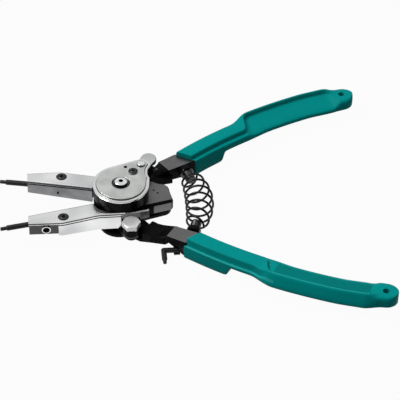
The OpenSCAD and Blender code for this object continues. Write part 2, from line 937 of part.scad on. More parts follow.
module tip_axis() {
    translate([tip_root[0], tip_root[1], tip_z])
        rotate([0, 0, -tip_lean])
            rotate([0, -90, 0])
                children();
}

// The black bar inside the shell, with the block at its front that holds the tip.
module jaw_bar() {
    intersection() {
        polygon(jaw_plan(shell_t + 0.02));
        translate([bar_front, 0]) square([bar_rear - bar_front, wide]);
    }
    polygon([
        [bar_front, jaw_front_in + 4],
        [window_x, jaw_front_in + 4],
        [window_x, jaw_knee_y - 0.1],
        [bar_front, jaw_front_in + jaw_front_w]
    ]);
}

module tail_box(x, len, half) {
    translate(jaw_pin) rotate(tail_angle) translate([x, -half]) square([len, 2 * half]);
}

module jaw_core() {
    color(black)
        difference() {
            union() {
                plate(tail_top - 0.5, roof_z - 0.05 - tail_top + 0.5)
                    difference() {
                        jaw_bar();
                        for (a = [0, jaw_close / 2, jaw_close])
                            translate(turn([0, 0], jaw_pin, -a)) circle(r = keep_r);
                    }
                plate(level_3, plate_t)
                    difference() {
                        union() {
                            jaw_bar();
                            polygon([
                                [-24, 10.2], [-24, 16.6], [-1, 16.6], [-0.3, 22],
                                [5, 23], [5, 15], [-4, 9.6]
                            ]);
                            translate(jaw_pin) circle(r = jaw_eye_r);
                            tail_box(0, tail_len + 1.4, tail_half);
                        }
                        translate(jaw_pin) circle(r = jaw_pin_r + run_fit);
                        tail_box(tail_len - 2.6, 6, drive_pin_r + slip_gap);
                    }
                plate(level_2, level_3 - level_2 + 1)
                    translate(jaw_pin)
                        difference() {
                            circle(r = jaw_eye_r - 0.1);
                            circle(r = jaw_pin_r + run_fit);
                        }
            }
            tip_axis() cylinder(h = tip_seat + tip_out, r = tip_r);
            rod(top_screw, level_3 - eps, roof_z, screw_r);
            translate([side_screw_x, 40, tip_z]) rotate([90, 0, 0]) cylinder(h = 22.5, r = side_screw_r);
        }
}

module jaw_shell() {
    inside_z = shell_rear_z - eps;
    inside_t = roof_z - inside_z;
    color(chrome)
        difference() {
            plate(shell_rear_z, jaw_top - shell_rear_z) polygon(jaw_plan(0));
            plate(inside_z, inside_t) {
                polygon(concat(
                    [[-jaw_front - 1, jaw_front_in + shell_t + 0.2]],
                    [for (i = [1:6]) jaw_plan(shell_t)[i]],
                    [[-jaw_front - 1, jaw_front_in + jaw_front_w - shell_t]]
                ));
                polygon([[-jaw_front - 1, 21], [window_x, 20], [window_x, wide], [-jaw_front - 1, wide]]);
                polygon([[-0.8, 2], [9, 2], [9, wide], [-0.8, wide]]);
                polygon([[jaw_inner_x + 1, 2], [0, 2], [0, 15], [jaw_inner_x + 1, 15]]);
            }
            plate(inside_z, jaw_top - inside_z + eps)
                polygon([[-3, 2], [9, 2], [9, wide], [jaw_rear_x, wide], [jaw_rear_x, 14.4], [-3, 13.4]]);
            column_sweep(inside_z, jaw_top + eps);
            translate([0, wide, 0])
                rotate([90, 0, 0])
                    linear_extrude(height = wide)
                        polygon([
                            [-jaw_front - 1, 0], [jaw_waist_x, 0],
                            [jaw_waist_x, shell_rear_z], [-jaw_front - 1, shell_front_z]
                        ]);
            rod(top_screw, roof_z - eps, jaw_top + eps, screw_r);
            translate(side_hole_at) rotate([-90, 0, 0]) cylinder(h = 14, r = side_hole_r);
        }
}

// Thin upright tongue that carries the near jaw's wall back past its nut.
module jaw_tongue() {
    color(chrome) {
        plate(tail_top + 0.1, roof_z - tail_top) {
            link(tongue[0], tongue_t / 2, tongue[1], tongue_t / 2);
            link(tongue[1], tongue_t / 2, tongue[2], tongue_t / 2);
        }
        plate(tongue_z, roof_z - tongue_z - 0.2)
            link(tongue[1] + 0.35 * (tongue[2] - tongue[1]), tongue_t / 2, tongue[2], tongue_t / 2);
    }
}

module tip() {
    color(forged)
        tip_axis() {
            cylinder(h = tip_seat + tip_out, r = tip_r);
            cylinder(h = tip_seat + tip_out + nose_l, r = nose_r);
        }
}

module top_screw_part() {
    color(black)
        difference() {
            union() {
                rod(top_screw, level_3 + 1, jaw_top + eps, screw_r);
                rod(top_screw, jaw_top, jaw_top + 0.5, top_screw_r);
            }
            hex(top_screw, jaw_top - 0.8, jaw_top + 0.6, screw_hex);
        }
}

module side_screw_part() {
    y0 = 18.45;
    y1 = 23.95;
    head_h = 0.9;
    color(steel)
        translate([side_screw_x, y1 + head_h, tip_z])
            rotate([90, 0, 0])
                difference() {
                    union() {
                        cylinder(h = head_h, r = 2.7);
                        translate([0, 0, 0.5]) cylinder(h = y1 - y0 + head_h - 0.5, r = side_screw_r);
                    }
                    translate([0, 0, -1]) cylinder(h = 1.6, r = 1.1, $fn = 6);
                }
}

module near_jaw_core() {
    near() jaw_core();
}

module far_jaw_core() {
    jaw_core();
}

module near_jaw_shell() {
    near() {
        jaw_shell();
        jaw_tongue();
    }
}

module far_jaw_shell() {
    jaw_shell();
}

module near_tip() {
    near() tip();
}

module far_tip() {
    tip();
}

module near_top_screw() {
    near() top_screw_part();
}

module far_top_screw() {
    top_screw_part();
}

module near_side_screw() {
    near() side_screw_part();
}

module far_side_screw() {
    side_screw_part();
}

base_plate();
hub();
rear_block();
rear_cap();
rear_post();
pivot_bolt();
bolt_washer();
cover_plate();
cover_cap();
cover_screw();
near_jaw_pin();
far_jaw_pin();
near_jaw_nut();
far_jaw_nut();
pawl_pin();
pawl_spring();
near_forging();
near_drive_pin();
near_grip();
near_spring_seat();
stowed_tip();
stowage_clip();
clip_screw();
return_spring();
far_forging();
far_drive_pin();
far_grip();
far_spring_seat();
near_jaw_core();
near_jaw_shell();
near_tip();
near_top_screw();
near_side_screw();
far_jaw_core();
far_jaw_shell();
far_tip();
far_top_screw();
far_side_screw();
thumb_lever();
pawl();
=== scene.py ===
# %% [markdown]
# # Circlip pliers, dressed
# The tool lies flat on a pale floor, jaws to the left and handles to the right. Its pieces come
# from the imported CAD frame, in metres, with the central pivot at the origin. This script gives
# each piece its finish, and remodels the pieces whose small forms the eye goes to first.

import json
import math

import bmesh
import bpy
from mathutils import Matrix, Vector


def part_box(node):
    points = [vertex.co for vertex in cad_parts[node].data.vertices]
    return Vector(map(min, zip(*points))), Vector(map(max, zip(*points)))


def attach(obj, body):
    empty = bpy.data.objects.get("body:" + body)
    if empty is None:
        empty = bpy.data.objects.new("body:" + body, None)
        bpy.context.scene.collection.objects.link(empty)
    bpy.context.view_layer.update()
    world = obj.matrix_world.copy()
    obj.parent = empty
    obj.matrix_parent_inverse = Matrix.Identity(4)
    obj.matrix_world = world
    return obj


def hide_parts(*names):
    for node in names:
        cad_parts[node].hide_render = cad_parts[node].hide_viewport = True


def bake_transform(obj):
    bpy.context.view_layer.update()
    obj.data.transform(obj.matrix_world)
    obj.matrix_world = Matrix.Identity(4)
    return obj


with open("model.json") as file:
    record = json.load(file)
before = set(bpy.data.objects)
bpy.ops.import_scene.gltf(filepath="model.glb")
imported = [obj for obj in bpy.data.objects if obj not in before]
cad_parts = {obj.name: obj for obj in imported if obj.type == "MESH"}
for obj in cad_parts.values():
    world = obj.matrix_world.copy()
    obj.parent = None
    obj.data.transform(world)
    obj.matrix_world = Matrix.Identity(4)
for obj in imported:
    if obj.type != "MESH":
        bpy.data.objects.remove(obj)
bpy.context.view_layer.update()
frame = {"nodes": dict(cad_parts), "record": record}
nodes = frame["nodes"]
behaviour = frame["record"]["behaviour"]
body_of_node = {node: body for body, names in behaviour["bodies"].items() for node in names}
MM = 0.001
SIDES = {"near": -1, "far": 1}


def link_object(name, data):
    """Adds an object with that data to the scene."""
    made = bpy.data.objects.new(name, data)
    bpy.context.scene.collection.objects.link(made)
    return made


def mesh_of(name, shape, materials=()):
    """Makes a mesh of a shape, which is used up."""
    mesh = bpy.data.meshes.new(name)
    for material in materials:
        mesh.materials.append(material)
    shape.to_mesh(mesh)
    shape.free()
    return mesh


# %% [markdown]
# ## The camera
# A photograph of a tool like this is taken from about a metre away with a long lens, so that the
# handles don't grow towards the viewer. The place of the camera follows from where the pivot, the
# tips and the two hang holes lie in the picture: it stands on the near handle's side, 41 degrees
# above the bench.

# %% Camera
# Angles, then metres from the pivot along the camera's own axes, then the lens in millimetres
CAMERA_TURN = math.radians(-5.86)
CAMERA_RISE = math.radians(40.97)
CAMERA_ROLL = math.radians(1.5)
CAMERA_RIGHT, CAMERA_UP, CAMERA_DISTANCE = 0.0484, 0.0093, 1.1763
LENS_MM = 172.5
SENSOR_MM = 36


def look_from_photo():
    """Stands the camera where the photograph was taken."""
    turn = Matrix.Rotation(CAMERA_TURN, 4, "Z") @ Matrix.Rotation(math.pi / 2 - CAMERA_RISE, 4, "X")
    turn = turn @ Matrix.Rotation(CAMERA_ROLL, 4, "Z")
    lens = bpy.data.cameras.new("camera")
    lens.lens = LENS_MM
    lens.sensor_width = SENSOR_MM
    camera = link_object("camera", lens)
    camera.matrix_world = turn @ Matrix.Translation((CAMERA_RIGHT, CAMERA_UP, CAMERA_DISTANCE))
    bpy.context.scene.camera = camera
    return camera


camera = look_from_photo()
print("camera at", [round(x, 3) for x in camera.location])


# %% [markdown]
# ## Colour and nodes
# Colours are read off as sRGB hex values, and the shader wants them linear, so one function turns
# them. Another adds a shader node with its settings and links. Patterns are laid out in
# millimetres of the real surface: on Object coordinates a noise scale of 1000 gives cells of one
# millimetre, so a function turns a size in millimetres into a scale.

# %% Colour and node helpers
def linear(hex_colour):
    """Turns an sRGB hex colour into the linear RGBA that a shader socket takes."""
    parts = [int(hex_colour[i:i + 2], 16) / 255 for i in (1, 3, 5)]
    return [p / 12.92 if p <= 0.04045 else ((p + 0.055) / 1.055) ** 2.4 for p in parts] + [1]


def cells(millimetres):
    """The texture scale at which one cell measures that many millimetres."""
    return 1 / (millimetres * MM)


def add(tree, kind, inputs=None, **settings):
    """Adds a shader node, sets it, and links or fills its inputs."""
    made = tree.nodes.new("ShaderNode" + kind)
    for name, value in settings.items():
        setattr(made, name, value)
    for socket, value in (inputs or {}).items():
        if isinstance(value, bpy.types.NodeSocket):
            tree.links.new(value, made.inputs[socket])
        else:
            made.inputs[socket].default_value = value
    return made


def new_material(name):
    """An empty node material, with its tree and its surface shader."""
    made = bpy.data.materials.new(name)
    made.use_nodes = True
    return made, made.node_tree, made.node_tree.nodes["Principled BSDF"]


def dress(tree, shader, cloud, grain, tones, smooth_rough, bump, depth=0.0001):
    """Mixes a surface's two tones by a cloud pattern, and takes roughness and relief from a grain."""
    colour = add(tree, "Mix", {0: cloud, 6: linear(tones[0]), 7: linear(tones[1])}, data_type="RGBA")
    rough = add(tree, "MapRange", {0: grain, 3: smooth_rough[0], 4: smooth_rough[1]})
    relief = add(tree, "Bump", {"Height": grain, "Strength": bump, "Distance": depth})
    tree.links.new(colour.outputs[2], shader.inputs["Base Color"])
    tree.links.new(rough.outputs[0], shader.inputs["Roughness"])
    tree.links.new(relief.outputs[0], shader.inputs["Normal"])


# %% [markdown]
# ## The floor and the light
# The picture's ground is plain white. The floor is grey card, so that it throws little light up at
# the tool, but what the camera and the bright metal see of it is nearly all its own white light,
# and a faint shadow stays. The sky is a studio ceiling: bright overhead and on the far side, dark
# near the horizon and behind the camera. That draws dark lines along the bends of bright metal.

# %% Floor
FLOOR_HALF, FLOOR_CARD, FLOOR_GLOW = 3.0, "#8f8f8e", 0.96


def pale_floor():
    """A large card under the tool, which is seen as white."""
    card, tree, shader = new_material("white_card")
    shader.inputs["Base Color"].default_value = linear(FLOOR_CARD)
    shader.inputs["Roughness"].default_value = 0.9
    shader.inputs["Specular IOR Level"].default_value = 0.0
    path = add(tree, "LightPath").outputs
    seen = add(tree, "Math", {0: path["Is Camera Ray"], 1: path["Is Glossy Ray"]}, operation="MAXIMUM")
    seen = add(tree, "Math", {0: seen.outputs[0], 1: path["Is Transmission Ray"]}, operation="MAXIMUM")
    share = add(tree, "Math", {0: seen.outputs[0], 1: FLOOR_GLOW}, operation="MULTIPLY")
    glow = add(tree, "Emission", {"Color": linear("#ffffff"), "Strength": 1.0})
    both = add(tree, "MixShader", {0: share.outputs[0], 1: shader.outputs[0], 2: glow.outputs[0]})
    tree.links.new(both.outputs[0], tree.nodes["Material Output"].inputs["Surface"])
    shape = bmesh.new()
    bmesh.ops.create_grid(shape, x_segments=1, y_segments=1, size=FLOOR_HALF)
    link_object("floor", mesh_of("floor", shape, [card]))


pale_floor()

# %% Light
# The sky's strength in a reflection and as light, its lean to the far side, and its tones
SKY_SEEN = 1.0
SKY_LIGHT = 0.75
SKY_TILT = 0.3
SKY_STOPS = (
    (0.0, "#141415"), (0.25, "#29292b"), (0.46, "#6c6c6e"), (0.68, "#d2d2d3"), (0.86, "#ececec"),
    (1.0, "#e2e2e2"),
)
# The lamp, in metres and watts
KEY_PLACE, KEY_SIZE, KEY_WATTS = (-0.8, 0.05, 1.15), 0.6, 12


def key_lamp():
    """A square soft box that faces the pivot."""
    lamp = bpy.data.lights.new("key_lamp", "AREA")
    lamp.size = KEY_SIZE
    lamp.energy = KEY_WATTS
    holder = link_object("key_lamp", lamp)
    holder.location = KEY_PLACE
    holder.rotation_euler = (-Vector(KEY_PLACE)).to_track_quat("-Z", "Y").to_euler()


def studio_sky():
    """Bright above and on the far side, dark at the horizon and behind the camera."""
    world = bpy.data.worlds.new("studio")
    bpy.context.scene.world = world
    world.use_nodes = True
    tree = world.node_tree
    direction = add(tree, "SeparateXYZ", {0: add(tree, "TexCoord").outputs["Generated"]}).outputs
    height = add(tree, "Math", {0: direction["Y"], 1: SKY_TILT, 2: direction["Z"]}, operation="MULTIPLY_ADD")
    ramp = add(tree, "ValToRGB", {"Fac": height.outputs[0]})
    stops = ramp.color_ramp.elements
    while len(stops) < len(SKY_STOPS):
        stops.new(0.5)
    for stop, (place, tone) in zip(stops, SKY_STOPS):
        stop.position = place
        stop.color = linear(tone)
    tree.links.new(ramp.outputs["Color"], tree.nodes["Background"].inputs["Color"])
    path = add(tree, "LightPath").outputs
    strength = add(tree, "MapRange", {0: path["Is Glossy Ray"], 3: SKY_LIGHT, 4: SKY_SEEN}).outputs[0]
    tree.links.new(strength, tree.nodes["Background"].inputs["Strength"])


studio_sky()
key_lamp()
bpy.context.scene.view_settings.view_transform = "Standard"


# %% [markdown]
# ## Black steel
# The handles are forged, then ground flat on their top and bottom faces and blackened. The ground
# faces are smoother and carry more of the light, so they look grey beside the deep black of the
# forged sides. One function makes every black finish: a mottled tone, an uneven roughness and a
# fine grain in the surface.

# %% Black finishes
def blackened(name, tone, deep_tone, metallic, roughness, grain_mm, bump, shine=0.12):
    """Blackened steel: a mottled tone, an uneven roughness and a fine grain."""
    made, tree, shader = new_material(name)
    place = add(tree, "TexCoord").outputs["Object"]
    mottle = add(tree, "TexNoise", {"Vector": place, "Scale": cells(6), "Detail": 4.0}).outputs["Fac"]
    grain = add(tree, "TexNoise", {"Vector": place, "Scale": cells(grain_mm), "Detail": 3.0}).outputs["Fac"]
    span = (roughness - 0.06, roughness + 0.06)
    dress(tree, shader, mottle, grain, (deep_tone, tone), span, bump, 0.0002)
    shader.inputs["Metallic"].default_value = metallic
    shader.inputs["Specular IOR Level"].default_value = shine
    return made


# Ground faces: a dark metal that mirrors the bright ceiling as mid grey.
ground_black = blackened("ground_blackened_steel", "#787879", "#69696a", 1.0, 0.34, 0.8, 0.15)
# Forged sides: matte and almost without reflection.
forged_black = blackened("forged_blackened_steel", "#0f0f10", "#060606", 0.0, 0.5, 0.9, 0.3, 0.05)
# Machined and oiled black pieces: the hub, the plates and the screws.
oiled_black = blackened("oiled_black_oxide", "#0e0e0f", "#060606", 0.0, 0.3, 0.5, 0.06, 0.06)
# Screw heads with the oxide half rubbed off.
dark_steel = blackened("rubbed_black_oxide", "#5c5c5d", "#424243", 1.0, 0.32, 0.5, 0.08)
# The circlip tips: hardened wire with a grey phosphate coat.
phosphate = blackened("grey_phosphate_steel", "#3a3a3c", "#262627", 0.3, 0.42, 0.4, 0.2, 0.2)
# The return spring's wire: smooth black oxide with a slight shine.
spring_black = blackened("black_spring_wire", "#161617", "#0a0a0b", 0.0, 0.3, 0.4, 0.05, 0.35)
print("black finishes from", ground_black.name, "to", spring_black.name)


# %% [markdown]
# ## Bright metal
# The jaws are folded from sheet, polished along their length and chromed. The cover plate is
# duller: stamped, tumbled and nickel plated. The bolt's head and the pins are turned and polished,
# and the nuts are zinc plated. They are metals with a light base tone, and they differ in
# roughness and in the direction of their fine scratches.

# %% Bright finishes
def plated(name, tone, worn_tone, roughness, scratch_mm, bump, metallic=1.0, cloud_mm=9):
    """Plated steel: fine scratches in one direction and faint clouds of tone."""
    made, tree, shader = new_material(name)
    place = add(tree, "TexCoord").outputs["Object"]
    stretch = [cells(size) for size in scratch_mm]
    along = add(tree, "Mapping", {"Vector": place, "Scale": stretch}, vector_type="POINT").outputs[0]
    scratch = add(tree, "TexNoise", {"Vector": along, "Scale": 1.0, "Detail": 2.0}).outputs["Fac"]
    cloud = add(tree, "TexNoise", {"Vector": place, "Scale": cells(cloud_mm), "Detail": 1.0}).outputs["Fac"]
    share = add(tree, "MapRange", {0: cloud, 1: 0.35, 2: 0.65}).outputs[0]
    dress(tree, shader, share, scratch, (worn_tone, tone), (roughness * 0.7, roughness * 1.4), bump)
    shader.inputs["Metallic"].default_value = metallic
    return made


# Jaw shells: scratches run along the jaw, drawn coarser than the real 0.05 mm so that they show.
jaw_chrome = plated("polished_chrome_sheet", "#ffffff", "#cfd0d1", 0.2, (14, 0.5, 0.5), 0.12, 1.0, 26)
# The jaws' inner walls are rougher, and their darker tone is painted shade.
rough_shaded_chrome = plated("rougher_chrome_sheet_painted_shade", "#939496", "#7b7c7e", 0.36, (10, 0.6, 0.6), 0.2)
# The cover and its cap: a tumbled satin, the same in every direction.
satin_nickel = plated("tumbled_nickel_plate", "#dadcda", "#c6c8c6", 0.36, (0.7, 0.7, 0.7), 0.4)
# The cover plate's rim: the same plating, polished by wear.
bright_nickel = plated("worn_nickel_rim", "#e6e7e6", "#d8dad8", 0.2, (0.7, 0.7, 0.7), 0.12)
# The bolt's head, the pins and the clip: turned and polished.
bright_steel = plated("polished_bright_steel", "#f2f2f2", "#e4e5e6", 0.14, (0.6, 0.6, 3), 0.05)
# The jaws' nuts: milky zinc, which scatters part of the light.
milky_zinc = plated("milky_zinc_plate", "#f0f0ef", "#dededd", 0.3, (0.8, 0.8, 3), 0.1, 0.45)
# The near jaw's rear strip: frosted, so it is pale even in the nut's shade.
frosted_zinc = plated("frosted_milky_zinc_plate", "#ffffff", "#f2f2f2", 0.45, (0.8, 0.8, 3), 0.1, 0.0)
print("bright finishes from", jaw_chrome.name, "to", frosted_zinc.name)


# %% [markdown]
# ## The grips' vinyl
# The grips are moulded in a soft teal vinyl with a silky skin. The colour is the same through and
# through, a little deeper in faint clouds, and the surface has a fine grain. A darker teal on the near
# panel is painted shade, and a lighter teal on the ledges and the near ridge is a painted highlight.

# %% Vinyl
def moulded_vinyl(name, deep_tone, tone, smoothest):
    """Teal vinyl with a silky, finely grained skin."""
    made, tree, shader = new_material(name)
    place = add(tree, "TexCoord").outputs["Object"]
    cloud = add(tree, "TexNoise", {"Vector": place, "Scale": cells(14), "Detail": 2.0}).outputs["Fac"]
    grain = add(tree, "TexNoise", {"Vector": place, "Scale": cells(0.45), "Detail": 2.0}).outputs["Fac"]
    dress(tree, shader, cloud, grain, (deep_tone, tone), (smoothest, smoothest + 0.12), bump=0.12)
    shader.inputs["Specular IOR Level"].default_value = 0.03
    return made


vinyl = moulded_vinyl("moulded_teal_vinyl", "#009390", "#009c99", 0.34)
# The panel that the palm rests on is rougher, and its darker teal is painted shade.
grained_shaded_vinyl = moulded_vinyl("grained_teal_vinyl_painted_shade", "#007d79", "#008682", 0.45)
# The ledges and ridges are smoother, and their lighter teal is a painted highlight.
highlit_vinyl = moulded_vinyl("smoother_teal_vinyl_painted_highlight", "#22aaa5", "#30b3ae", 0.26)
print("grips in", vinyl.name, "and", grained_shaded_vinyl.name)


# %% [markdown]
# ## Edges that catch the light
# No edge of a real tool is perfectly sharp. The helpers below make plates from an outline, turned
# pieces from a profile and long pieces from a row of sections. Every edge that turns by more than
# a set angle gets a small round. Normals are weighted by the faces' areas, so that a flat face
# stays flat to the eye right up to its round.

# %% Rounding and joining
SHARP = math.radians(28)
CREASE = math.radians(50)
FLAT = math.radians(0.6)
MERGE = 0.02 * MM
ROUND_STEPS = 72


def round_edges(shape, width, segments=3, clamp=False):
    """Rounds every edge that turns by more than SHARP; the width is in millimetres."""
    edges = [e for e in shape.edges if e.is_manifold and e.calc_face_angle(0) > SHARP]
    bmesh.ops.bevel(
        shape, geom=edges, offset=width * MM, segments=segments, profile=0.5, affect="EDGES",
        clamp_overlap=clamp, material=-1,
    )
    return shape


def shown(name, shapes, body, materials, replaced=(), second=None):
    """Joins shapes into one object on a body; second(face) says which finish a face takes."""
    whole = bmesh.new()
    for shape in shapes:
        part = mesh_of("part", shape)
        whole.from_mesh(part)
        bpy.data.meshes.remove(part)
    whole.normal_update()
    for face in whole.faces:
        face.smooth = True
        if second:
            face.material_index = int(second(face))
    for edge in whole.edges:
        edge.smooth = edge.calc_face_angle(0) < CREASE
    piece = link_object(name, mesh_of(name, whole, materials))
    piece.modifiers.new("weighted_normals", "WEIGHTED_NORMAL").keep_sharp = True
    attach(piece, body)
    if replaced:
        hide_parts(*replaced)
    return piece


def cad_shape(node):
    """A copy of a CAD piece's mesh, merged and with its flat faces joined."""
    shape = bmesh.new()
    shape.from_mesh(nodes[node].data)
    bmesh.ops.remove_doubles(shape, verts=shape.verts, dist=MERGE)
    bmesh.ops.dissolve_degenerate(shape, dist=MERGE, edges=shape.edges)
    bmesh.ops.dissolve_limit(
        shape, angle_limit=FLAT, verts=shape.verts, edges=shape.edges, use_dissolve_boundaries=False
    )
    return shape


def reworked(node, shapes, materials, second=None):
    """Joins shapes into one object that takes a CAD node's place on its body."""
    return shown(node + "_shown", shapes, body_of_node[node], materials, [node], second)


def softened(node, width, materials):
    """Puts a copy with rounded edges in a CAD node's place."""
    return reworked(node, [round_edges(cad_shape(node), width, 2, clamp=True)], materials)


def open_edges(shape):
    return [edge for edge in shape.edges if edge.is_boundary]


def centre_of(face):
    """The middle of a face, in millimetres."""
    return face.calc_center_median() / MM


def recoloured(node, material):
    """Gives a CAD piece a finish and keeps its mesh."""
    nodes[node].data.materials.clear()
    nodes[node].data.materials.append(material)


print("rounds where an edge turns more than", round(math.degrees(SHARP)), "degrees")

# %% Outlines and plates
def polar(centre, radius, angle):
    return Vector((centre[0] + radius * math.cos(angle), centre[1] + radius * math.sin(angle)))


def arc(centre, radius, start, end, steps=24):
    """Points along an arc, its two ends included."""
    return [polar(centre, radius, start + (end - start) * i / steps) for i in range(steps + 1)]


def disc(centre, radius):
    return arc(centre, radius, 0, 2 * math.pi, ROUND_STEPS)[:-1]


def link(p, rp, q, rq):
    """The outline of two discs and the straight flanks that touch both."""
    p, q = Vector(p), Vector(q)
    along = math.atan2(q.y - p.y, q.x - p.x)
    lean = math.acos((rp - rq) / (q - p).length)
    back = arc(p, rp, along + lean, along - lean + 2 * math.pi, 40)
    return back + arc(q, rq, along - lean, along + lean, 20)


def bitten(outline, centre, radius, step=0.6):
    """The outline in steps, with a round bite whose arc takes the place of the points inside it."""
    centre = Vector(centre)
    fine = []
    for a, b in zip(outline, outline[1:] + outline[:1]):
        a, b = Vector(a), Vector(b)
        parts = max(1, round((b - a).length / step))
        fine += [a.lerp(b, i / parts) for i in range(parts)]
    inside = [(point - centre).length < radius for point in fine]
    first = next(i for i in range(len(fine)) if inside[i - 1] and not inside[i])
    turned_list = fine[first:] + fine[:first]
    kept = [point for point in turned_list if (point - centre).length >= radius]
    last, start = kept[-1] - centre, kept[0] - centre
    angle = math.atan2(last.y, last.x)
    sweep = (math.atan2(start.y, start.x) - angle + math.pi) % (2 * math.pi) - math.pi
    return kept + arc(centre, radius, angle, angle + sweep, 20)[1:-1]


def slab(outline, low, high, width=0.3, segments=3, hole=None):
    """A plate of the outline between two heights, with rounded edges and perhaps a hole."""
    shape = bmesh.new()
    for loop in [outline] + ([hole] if hole else []):
        verts = [shape.verts.new((x * MM, y * MM, low * MM)) for x, y in loop]
        for a, b in zip(verts, verts[1:] + verts[:1]):
            shape.edges.new((a, b))
    if hole:
        bmesh.ops.bridge_loops(shape, edges=shape.edges)
    else:
        bmesh.ops.holes_fill(shape, edges=shape.edges)
    raised = bmesh.ops.extrude_face_region(shape, geom=shape.faces[:])["geom"]
    moved = [v for v in raised if isinstance(v, bmesh.types.BMVert)]
    bmesh.ops.translate(shape, verts=moved, vec=(0, 0, (high - low) * MM))
    bmesh.ops.recalc_face_normals(shape, faces=shape.faces)
    return round_edges(shape, width, segments) if width else shape


# %% Turned and lofted pieces
def turned(profile, steps=ROUND_STEPS):
    """A lathe piece about the Z axis from a profile of (radius, height) in millimetres."""
    shape = bmesh.new()
    line = [shape.verts.new((radius * MM, 0, height * MM)) for radius, height in profile]
    edges = [shape.edges.new(pair) for pair in zip(line, line[1:])]
    bmesh.ops.spin(
        shape, geom=line + edges, cent=(0, 0, 0), axis=(0, 0, 1), angle=2 * math.pi, steps=steps,
        use_merge=True,
    )
    bmesh.ops.remove_doubles(shape, verts=shape.verts, dist=0.001 * MM)
    bmesh.ops.recalc_face_normals(shape, faces=shape.faces)
    return shape


def lofted(rings, strips=()):
    """A closed body through a row of rings; strips lists (finish, spans, first ring, last ring)."""
    along, around = len(rings) - 1, len(rings[0])
    shape = bmesh.new()
    bmesh.ops.create_grid(shape, x_segments=along, y_segments=around, size=0.5)
    for face in shape.faces:
        middle = face.calc_center_median()
        span, station = int((middle.y + 0.5) * around), (middle.x + 0.5) * along
        for finish, spans, start, end in strips:
            if span in spans and start < station < end:
                face.material_index = finish
    for vert in shape.verts:
        ring = rings[round((vert.co.x + 0.5) * along)]
        vert.co = Vector(ring[round((vert.co.y + 0.5) * around) % around]) * MM
    bmesh.ops.remove_doubles(shape, verts=shape.verts, dist=0.001 * MM)
    bmesh.ops.dissolve_degenerate(shape, dist=0.001 * MM, edges=shape.edges)
    bmesh.ops.holes_fill(shape, edges=open_edges(shape))
    bmesh.ops.recalc_face_normals(shape, faces=shape.faces)
    return shape


def placed(shape, place, turn=None):
    """Turns a shape about the origin and moves it to a place in millimetres."""
    move = Matrix.Translation(Vector(place) * MM)
    bmesh.ops.transform(shape, matrix=move @ turn if turn else move, verts=shape.verts)
    return shape


def cut_along(shape, place, normal):
    """Splits a shape's faces along a plane and keeps both sides."""
    everything = shape.verts[:] + shape.edges[:] + shape.faces[:]
    bmesh.ops.bisect_plane(shape, geom=everything, plane_co=Vector(place) * MM, plane_no=normal)
    return shape


def mirrored(shape):
    """The same shape on the near side."""
    bmesh.ops.scale(shape, vec=(1, -1, 1), verts=shape.verts)
    bmesh.ops.reverse_faces(shape, faces=shape.faces)
    return shape


def on_side(side, shapes):
    """Shapes modelled on the far side, mirrored where the near side wants them."""
    return [mirrored(shape) for shape in shapes] if side == "near" else shapes


# %% [markdown]
# ## Screws, nuts and pins
# Heads are turned on a lathe, so a profile spun about its axis makes them. The hexagonal sockets
# are sunk from a hexagon that is bridged to the head's round rim. The jaws' nuts are hexagonal
# bars whose corners the lathe has turned down.

# %% Heads
CAP_TOP = 26.2
BOLT_TOP = CAP_TOP + 1.6
LEVER_PIN, COVER_SCREW = (13.3, 16.9), (8, 10)


def hex_socket(shape, flats, top, depth):
    """Closes a turned head's open middle with a hexagonal recess."""
    rim = open_edges(shape)
    bmesh.ops.create_circle(
        shape, segments=6, radius=flats / math.sqrt(3) * MM, matrix=Matrix.Translation((0, 0, top * MM))
    )
    sides = [e for e in shape.edges if e.is_wire]
    bmesh.ops.subdivide_edges(shape, edges=sides, cuts=ROUND_STEPS // 6 - 1)
    sides = [e for e in shape.edges if e.is_wire]
    bmesh.ops.bridge_loops(shape, edges=rim + sides)
    walls = bmesh.ops.extrude_edge_only(shape, edges=open_edges(shape))["geom"]
    lowered = [v for v in walls if isinstance(v, bmesh.types.BMVert)]
    bmesh.ops.translate(shape, verts=lowered, vec=(0, 0, -depth * MM))
    bmesh.ops.holes_fill(shape, edges=open_edges(shape))
    bmesh.ops.recalc_face_normals(shape, faces=shape.faces)
    return shape


def domed_head(radius, low, high, flats, depth, shank):
    """A low domed head with a hexagonal socket, on a shank that reaches down to the bench."""
    rise = high - low
    profile = [
        (0, 0), (shank, 0), (shank, low), (radius, low), (radius, low + 0.55 * rise),
        (0.98 * radius, low + 0.72 * rise), (0.9 * radius, low + 0.88 * rise),
        (0.76 * radius, low + 0.97 * rise), (0.5 * radius, high),
    ]
    return hex_socket(turned(profile), flats, high - 0.03, depth)


def ringed_head(radius, high, flats, depth):
    """A flat head with a raised middle and a groove round it."""
    profile = [
        (0, 0), (radius, 0), (radius, 0.6 * high), (0.94 * radius, 0.75 * high),
        (0.78 * radius, 0.75 * high), (0.73 * radius, 0.35 * high), (0.67 * radius, 0.85 * high),
        (0.6 * radius, high), (0.52 * radius, high),
    ]
    return hex_socket(turned(profile), flats, high - 0.03, depth)


def hex_nut(flats, low, high):
    """A hexagonal nut whose top corners are turned down."""
    sixth, crown = math.pi / 3, 0.455 * flats
    angles = [2 * math.pi * i / ROUND_STEPS for i in range(ROUND_STEPS)]
    corner = [polar((0, 0), flats / 2 / math.cos(angle % sixth - sixth / 2), angle) for angle in angles]
    shoulders = [(x, y, high - 0.62 * max(0, math.hypot(x, y) - crown)) for x, y in corner]
    return lofted([
        [(x, y, low) for x, y in corner], shoulders, [(x, y, high) for x, y in disc((0, 0), crown)],
    ])


def bolt_painted_shade(face):
    """The bolt's side wall and its socket, but not its domed top: these faces are painted black as shade."""
    return face.normal.z < 0.45 or centre_of(face).z < CAP_TOP + 0.5


